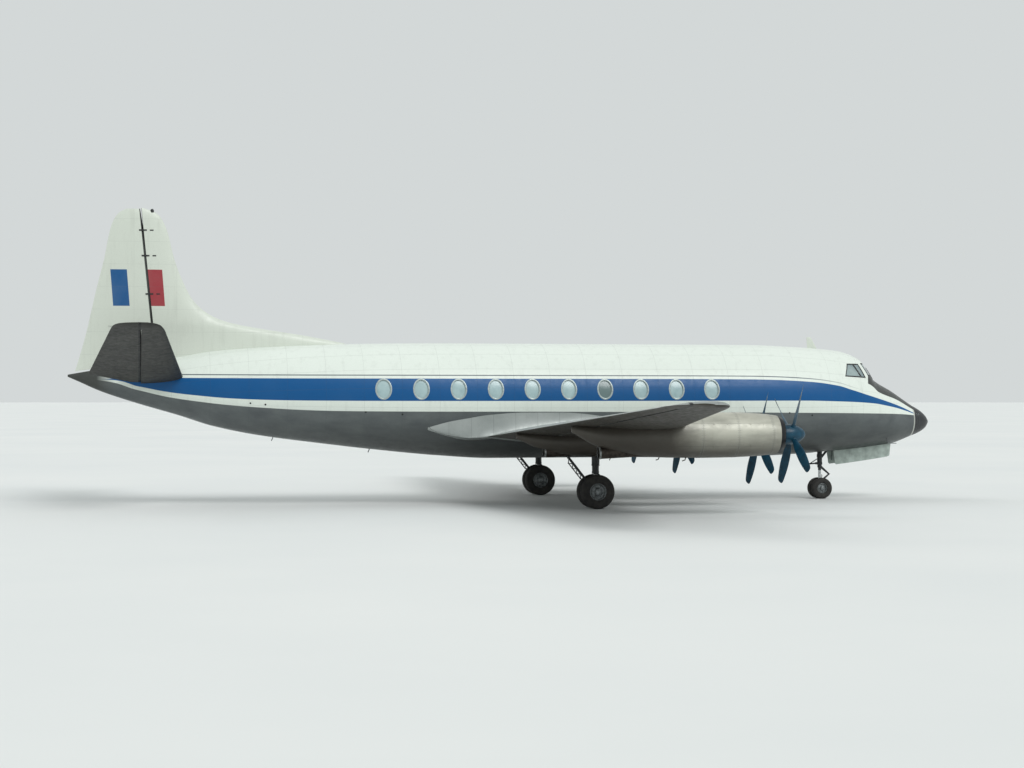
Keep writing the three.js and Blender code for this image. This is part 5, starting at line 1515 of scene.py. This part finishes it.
def build_nose_gear():
    x, axle = ahead(NOSE_GEAR["at"]), NOSE_GEAR["radius"]
    top = NOSE_BAY["top"] - SEAM
    leg = Shape()
    leg.lathe([(CORE, 1.12), (0.035, 1.12), (0.035, 0.99), (0.076, 0.99), (0.080, 0.996), (0.080, 1.050),
               (0.072, 1.060), (0.072, 1.200), (0.084, 1.210), (0.084, 1.290), (0.072, 1.300), (0.072, top),
               (CORE, top)], "z", (x, 0, 0), 36)
    leg.tube([(x + 0.04, 0, 1.19), (x + 0.682, 0, top - 0.03)], 0.034, 20)
    leg.tube([(x - 0.06, 0, 1.03), (x - 0.13, 0, 1.03)], 0.034, 16)
    leg.tube([(x - 0.12, 0, 1.03), (x - 0.33, 0, 1.015)], 0.022, 14)
    cross_pin(leg, x - 0.33, 0, 1.015, 0.035, 0.026, 14)
    leg.tube([(x - 0.29, 0, 1.03), (x - 0.055, 0, 1.17)], 0.013, 10)
    leg.block((x - 0.04, -0.085, 1.31), (x + 0.05, 0.085, 1.40), 0.012)
    for side in (1, -1):
        leg.tube([(x + 0.005, side * 0.05, 1.355), (x - 0.005, side * 0.245, 1.62)], 0.016, 12)
    finish_piece(leg, "nose_leg", "gear", ["nose_leg"])
    fork = Shape()
    fork.lathe([(CORE, 1.09), (0.034, 1.09), (0.034, 0.985), (0.062, 0.985), (0.066, 0.980), (0.066, 0.915),
                (0.060, 0.905), (0.046, 0.900), (0.046, 0.83), (CORE, 0.83)], "z", (x, 0, 0), 32)
    fork.lathe([(CORE, 0.53), (0.052, 0.53), (0.056, 0.522), (0.056, 0.34), (CORE, 0.34)], "z", (x, 0, 0), 28)
    axle_sleeve(fork, NOSE_GEAR, (x, 0, axle), (0.034, 0.055, 0.060), 0.006, 32)
    torque_links(fork, x + 0.01, 0, 0.925, 0.502, 0.28)
    fork.tube([(x + 0.06, 0, 0.60), (x + 0.075, 0, 0.66), (x + 0.06, 0, 0.70)], 0.010, 8)
    finish_piece(fork, "nose_fork", "gear", ["nose_fork"], "nose_steering")
    oleo = Shape().lathe(rod(0.042, 0.91, 0.50), "z", (x, 0, 0), 32)
    finish_piece(oleo, "nose_oleo", "oleo", body="nose_steering")


NOSE_DOOR = {"front": 9.78, "back": 8.0, "drop": 0.4, "back_drop": 0.45, "thick": 0.026, "out": 0.012,
             "tuck": 0.06, "front_in": 0.04, "back_in": 0.06}


def build_nose_doors():
    """Long curved doors beside the nose wheel bay, each with ribs and two goose-neck hinges."""
    door, y = NOSE_DOOR, NOSE_BAY["half"] + NOSE_DOOR["out"]

    def under(at):
        """Height of the skin above the door's top edge."""
        middle = float(BODY_MIDDLE(at))
        share = (y / float(BODY_HALF(at))) ** 2
        return middle - (middle - float(BODY_BOTTOM(at))) * math.sqrt(1 - share)

    places = np.linspace(door["back"], door["front"], 19)
    upper = [(ahead(at), under(at) - 0.001) for at in places]
    lower = []
    for at in np.linspace(door["front"] - door["front_in"], door["back"] + door["back_in"], 19):
        share = (at - door["back"]) / (door["front"] - door["back"])
        drop = door["back_drop"] + (door["drop"] - door["back_drop"]) * share
        lower.append((ahead(at), float(BODY_BOTTOM(at)) + door["tuck"] - drop))
    edge = 0.03
    front, rear = lower[0], lower[-1]
    lower = [(front[0] + 0.004, front[1] + edge), (front[0] - edge, front[1]), *lower[1:-1],
             (rear[0] + edge, rear[1]), (rear[0] - 0.004, rear[1] + edge)]
    panel = Shape().plate(upper + lower, "y", y, y + door["thick"])
    finish_pair(panel, "nose_gear_door", "door", ["nose_gear_door"])
    ribs = Shape()
    for at in np.linspace(door["back"] + 0.16, door["front"] - 0.14, 7):
        top, low = under(at) - 0.03, float(BODY_BOTTOM(at)) + door["tuck"] - door["drop"] + 0.05
        ribs.block((ahead(at) - 0.012, y - 0.012, low), (ahead(at) + 0.012, y + 0.001, top))
    for at in (door["back"] + 0.35, door["front"] - 0.35):
        z = under(at)
        neck = rounded([(0, -0.002, -0.10), (0, -0.035, -0.04), (0, -0.035, 0.03), (0, -0.012, 0.06)], 4)
        ribs.tube([(ahead(at) + u, y + v, z + w) for u, v, w in neck], 0.014, 10)
    finish_pair(ribs, "nose_gear_door_ribs", "fastener")


def build_aerial_mast():
    """Raked blade aerial behind the cockpit."""
    at, height, chord, tip_chord, sweep, thick = 7.45, 0.33, 0.30, 0.135, 0.11, 0.036
    base = float(BODY_TOP(at)) - 0.02
    rings = []
    for share in (0, 0.25, 0.5, 0.75, 0.93, 1.0):
        length = (chord + (tip_chord - chord) * share) * (0.8 if share == 1.0 else 1)
        wide = thick * (0.5 if share == 1.0 else 1)
        middle = ahead(at) - sweep * share
        ring = []
        for turn in turns(32):
            ring.append((middle + length / 2 * math.cos(turn),
                         wide / 2 * math.sin(turn) * (0.75 + 0.25 * math.cos(turn)),
                         base + (height + 0.02) * share))
        rings.append(ring)
    finish_piece(Shape().skin(rings), "aerial_mast", "tail", ["aerial_mast"])


def skin_way(at, angle):
    """The way the fuselage's skin faces."""
    here, along, around = (Vector(skin_point(at + u, angle + v)) for u, v in ((0, 0), (0.02, 0), (0, 0.01)))
    way = (along - here).cross(around - here).normalized()
    return way if way.dot(here - Vector((here.x, 0, float(BODY_MIDDLE(at))))) > 0 else -way


def build_fuselage_fittings():
    """Probes, drains and vents of the fuselage."""
    fittings = Shape()
    # Pitot heads below the nose
    for side in (1, -1):
        start = Vector(skin_point(9.55, -0.9, -0.01))
        run = rounded([(0, 0, 0), (0.0, 0.05, -0.07), (0.03, 0.07, -0.115), (0.10, 0.075, -0.125),
                       (0.26, 0.075, -0.125)], 5)
        fittings.tube([(start.x + u, side * (start.y + v), start.z + w) for u, v, w in run], 0.011, 10)
    # Drain masts
    for at in (1.4, -5.6, -8.3):
        z = float(BODY_BOTTOM(at))
        fittings.tube([(ahead(at), 0.16, z + 0.02), (ahead(at) - 0.05, 0.16, z - 0.10)], 0.013, 10)
    finish_piece(fittings, "fuselage_fittings", "fastener")
    vents = []
    for at, angle in ((6.9, -0.22), (6.2, -0.2), (3.0, -0.25), (-4.9, -0.3), (-5.9, -0.3), (-8.6, -0.3),
                      (-9.0, -0.3)):
        for turn in (angle, math.pi - angle):
            vents.append((skin_point(at, turn), skin_way(at, turn)))
    dots = repeated("vents", vents, "seal", sides=16, radius=0.026, top_radius=0.021, height=0.005)
    finish_piece(dots, "fuselage_vents", "seal")



def build_tail_fittings():
    """Hinge brackets across the rudder's gap, and the fin's lamp."""
    brackets = Shape()
    for height in (5.8, 6.85, 7.55):
        front = FIN.hinge_at(height) + 0.02
        half = FIN.hinge_radius(height) + 0.012
        x = ahead(front)
        brackets.block((x - 0.09, -half, height - 0.020), (x + 0.12, half, height + 0.020), 0.006)
        brackets.block((x + 0.20, -half, height - 0.016), (x + 0.30, half, height + 0.016), 0.006)
    brackets.lathe([(CORE, -0.03), (0.050, -0.03), (0.050, 0.02), (0.042, 0.048), (0.025, 0.066),
                    (CORE, 0.072)], "z", (ahead(-11.62), 0, 8.072), 24)
    finish_piece(brackets, "fin_fittings", "seal")


def fuselage_rivets():
    spots = []
    for i in range(-5, 16):
        at = WINDOW_FIRST + FRAME_PITCH * (i + 0.5)
        for turn in np.linspace(0, 2 * math.pi, 97)[:-1]:
            for aside in (-0.035, 0.035):
                spots.append((skin_point(at + aside, turn, -RIVET_SINK), skin_way(at + aside, turn)))
    return spots


def window_rivets():
    spots = []
    middle = CABIN_WINDOW["middle"]
    wide, high = CABIN_WINDOW["width"] / 2 + 0.05, CABIN_WINDOW["height"] / 2 + 0.05
    for at in WINDOW_PLACES:
        for turn in np.linspace(0, 2 * math.pi, 21)[:-1]:
            x, y, z = skin_at_height(at + wide * math.cos(turn), middle + high * math.sin(turn), -RIVET_SINK)
            spots.append(((x, y, z), outward((x, 0, CABIN_AXIS), (x, y, z))))
    return both_sides(spots)


def build_rivets():
    """Rows of rivets round the main frames and the cabin windows."""
    spots = fuselage_rivets() + window_rivets()
    heads = repeated("rivets", spots, "livery", **RIVET)
    finish_piece(heads, "fuselage_rivets", "livery")


def nacelle_section(nacelle, at, angle, grow=0.0):
    top, bottom, half = sections(nacelle["rows"])(at)
    middle = (top + bottom) / 2
    point = Vector((ahead(at), nacelle["span"] + (half + grow) * math.cos(angle),
                    middle + ((top - bottom) / 2 + grow) * math.sin(angle)))
    return point, Vector((0, math.cos(angle) / half, math.sin(angle) / ((top - bottom) / 2))).normalized()


def build_cowl_fittings():
    """Screws along the cowlings' seams, latches, scoops, drains, guide vanes and the jet pipes' rims."""
    for name, nacelle in NACELLES.items():
        spots = []
        for back in COWL_RINGS:
            for aside in (-0.03, 0.03):
                for turn in np.linspace(0, 2 * math.pi, 61)[:-1]:
                    point, way = nacelle_section(nacelle, nacelle["lip"] - back + aside, turn, -0.001)
                    spots.append((tuple(point), tuple(way)))
        screws = repeated("screws", spots, "fastener", sides=8, radius=0.009, top_radius=0.006, height=0.004)
        finish_pair(screws, f"cowl_screws_{name}", "fastener")
        fittings = Shape()
        for turn in (0.52, math.pi - 0.52, -0.5, math.pi + 0.5):
            for at in (0.6, 0.95, 1.55, 1.9):
                point, way = nacelle_section(nacelle, nacelle["lip"] - at, turn)
                fittings.tube([point - way * 0.01, point + way * 0.010], 0.020, 12)
        point, _ = nacelle_section(nacelle, nacelle["lip"] - 2.5, -math.pi / 2)
        fittings.tube([point + Vector((0, 0.08, 0.03)), point + Vector((-0.03, 0.08, -0.05)),
                       point + Vector((-0.10, 0.08, -0.075))], 0.014, 12)
        # Air scoops on the cowling's shoulders
        for turn in (0.95, math.pi - 0.95):
            point, way = nacelle_section(nacelle, nacelle["lip"] - 2.45, turn, 0.012)
            # Columns: place along the cowling, radius, height over it
            outer = [(0.0, 0.048, 0.030), (-0.10, 0.050, 0.022), (-0.22, 0.040, 0.0), (-0.32, 0.012, -0.025)]
            path = [point + Vector((behind, 0, 0)) + way * lift for behind, _, lift in outer]
            fittings.tube(path, [radius for _, radius, _ in outer], 20)
        finish_pair(fittings, f"cowl_fittings_{name}", "cowling")
        start, end = jet_ends(nacelle)
        way = (end - start).normalized()
        rim = Shape()
        outer, inner = JET_PIPE["radius"] * 0.94 + 0.006, JET_PIPE["bore"] - 0.001
        section = [(outer - 0.012, -0.05), (outer, -0.04), (outer, -0.004), (outer - 0.006, 0.0),
                   (inner, 0.0),
                   (inner, -0.03)]
        side = way.orthogonal().normalized()
        other = way.cross(side)
        rings = []
        for radius, along in section:
            rings.append([end + way * along + (side * math.cos(turn) + other * math.sin(turn)) * radius
                          for turn in turns(40)])
        rim.skin(rings, closed=True)
        finish_pair(rim, f"jet_pipe_rim_{name}", "bare")
        face = ahead(nacelle["lip"] - INTAKE["depth"]) + 0.05
        vanes = []
        for turn in np.linspace(0, 2 * math.pi, 25)[:-1]:
            way = (0, math.cos(turn), math.sin(turn))
            middle = (ENGINE["gearcase"] + INTAKE["radius"]) / 2
            spot = (face, nacelle["span"] + middle * way[1], nacelle["thrust"] + middle * way[2])
            vanes.append((spot, way))
        blades = repeated("vanes", vanes, "brake", "vane", length=0.07, thickness=0.006, height=0.19)
        finish_pair(blades, f"intake_vanes_{name}", "brake")


def build_wing_fittings():
    """Wing tip lamps, fuel caps and static wicks."""
    for side, sign in SIDES.items():
        lamp = Shape()
        finish = "light_red" if side == "left" else "light_green"
        span = 14.02
        lead = WING.edges(span)[0]
        z = WING.height(span) + 0.004
        rings = [(0.02, 0.018), (0.0, 0.034), (-0.06, 0.046), (-0.16, 0.040), (-0.26, 0.010)]
        lamp.tube([(ahead(lead - 0.10) + along, sign * span, z + 0.03) for along, _ in rings],
                  [radius for _, radius in rings], 20)
        finish_piece(lamp, f"tip_lamp_{side}", finish)
    caps = []
    for span in (2.6, 5.4, 8.6, 10.9):
        lead, trail, ratio = WING.straight(span)
        share = 0.38
        chord = lead - trail
        rise = WING.half_thickness(share, ratio) * chord + WING.rise(share, chord)
        caps.append(((ahead(lead - share * chord), span, WING.height(span) + rise - 0.001), (0, 0, 1)))
    discs = repeated("caps", both_sides(caps), "fastener", sides=28, radius=0.075, top_radius=0.068,
                     height=0.006)
    finish_piece(discs, "fuel_caps", "fastener")
    wicks = [((ahead(surface.straight(span)[1]) + 0.01, span, surface.height(span)), (-1, 0, 0))
             for surface, spans in ((WING, (13.55, 13.7, 13.85)), (TAILPLANE, (5.25, 5.32)))
             for span in spans]
    cones = repeated("wicks", both_sides(wicks), "seal", sides=8, radius=0.004, top_radius=0.0015,
                     height=0.12)
    finish_piece(cones, "static_wicks", "seal")


def wing_rivet_spots():
    """Rows along three spars, above and below."""
    spots = []
    for span in np.arange(1.8, 13.4, 0.11):
        lead, trail, ratio = WING.straight(span)
        chord = lead - trail
        for share in (0.14, 0.36, 0.60):
            rise, thick = WING.rise(share, chord), WING.depth(share, ratio, chord)
            grade = 5 * (WING.half_thickness(share + 0.01, ratio) - WING.half_thickness(share, ratio)) / 0.05
            for up in (1, -1):
                height = WING.height(span) + rise + up * (thick - RIVET_SINK)
                point = (ahead(lead - share * chord), span, height)
                spots.append((point, tuple(Vector((grade, -WING.slope, up)).normalized())))
    return spots


def build_wing_rivets():
    heads = repeated("rivets", wing_rivet_spots(), "wing", **RIVET)
    finish_pair(heads, "wing_rivets", "wing")


def set_node_finishes():
    """Finishes for the CAD nodes that show as they are."""
    for name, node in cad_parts.items():
        if name.startswith("engine"):
            node.data.materials.clear()
            node.data.materials.append(MATERIALS["dark"])


# Camera, light and floor
PHOTO_PLACE = (-12.02, -52.42, 3.0)  # on the photo's side and angle across, from the main wheels, 3 m up
AIM = (ahead(-1.55), 0.0, 3.35)
LENS = 66


def build_camera():
    data = bpy.data.cameras.new("camera")
    camera = bpy.data.objects.new("camera", data)
    bpy.context.scene.collection.objects.link(camera)
    place = Vector((ahead(PHOTO_PLACE[0]), *PHOTO_PLACE[1:]))
    camera.location = place
    camera.rotation_euler = (Vector(AIM) - place).to_track_quat("-Z", "Y").to_euler()
    data.lens = LENS
    data.clip_start, data.clip_end = 0.5, 3000
    bpy.context.scene.camera = camera


def build_stage():
    floor = Shape()
    floor.faces.append(tuple(range(96)))
    around = np.linspace(0, 2 * math.pi, 97)[:-1]
    floor.points = [(900 * math.cos(turn), 900 * math.sin(turn), -0.002) for turn in around]
    plane = floor.object("floor")
    look = Finish("floor_pale", roughness=0.85)
    look.colour(look.mix(look.ramp(look.noise(0.08), 0.3, 0.7), linear(0xDCDEDC), linear(0xD6D9D8)))
    plane.data.materials.append(look.material)
    world = bpy.data.worlds.new("studio")
    world.use_nodes = True
    world.node_tree.nodes["Background"].inputs["Color"].default_value = linear(0xE3E8E8)
    world.node_tree.nodes["Background"].inputs["Strength"].default_value = 0.85
    bpy.context.scene.world = world
    # Columns: name, strength, angle across in degrees, direction it comes from
    for name, strength, spread, source in (("key", 1.5, 28, (0.35, -0.75, 0.75)),
                                           ("rim", 0.5, 40, (-0.6, 0.5, 0.7))):
        data = bpy.data.lights.new(name, "SUN")
        data.energy, data.angle = strength, math.radians(spread)
        light = bpy.data.objects.new(name, data)
        light.rotation_euler = Vector(source).to_track_quat("Z", "Y").to_euler()
        bpy.context.scene.collection.objects.link(light)
    bpy.context.scene.view_settings.view_transform = "Standard"


build_camera()
build_stage()
build_fuselage()
build_wing()
build_tailplane()
build_fin()
build_engines()
build_wheels()
build_wheel_bolts()
build_main_legs()
build_drag_braces()
build_nose_gear()
build_nose_doors()
build_aerial_mast()
build_fuselage_fittings()
build_tail_fittings()
build_rivets()
build_cowl_fittings()
build_wing_fittings()
build_wing_rivets()
set_node_finishes()
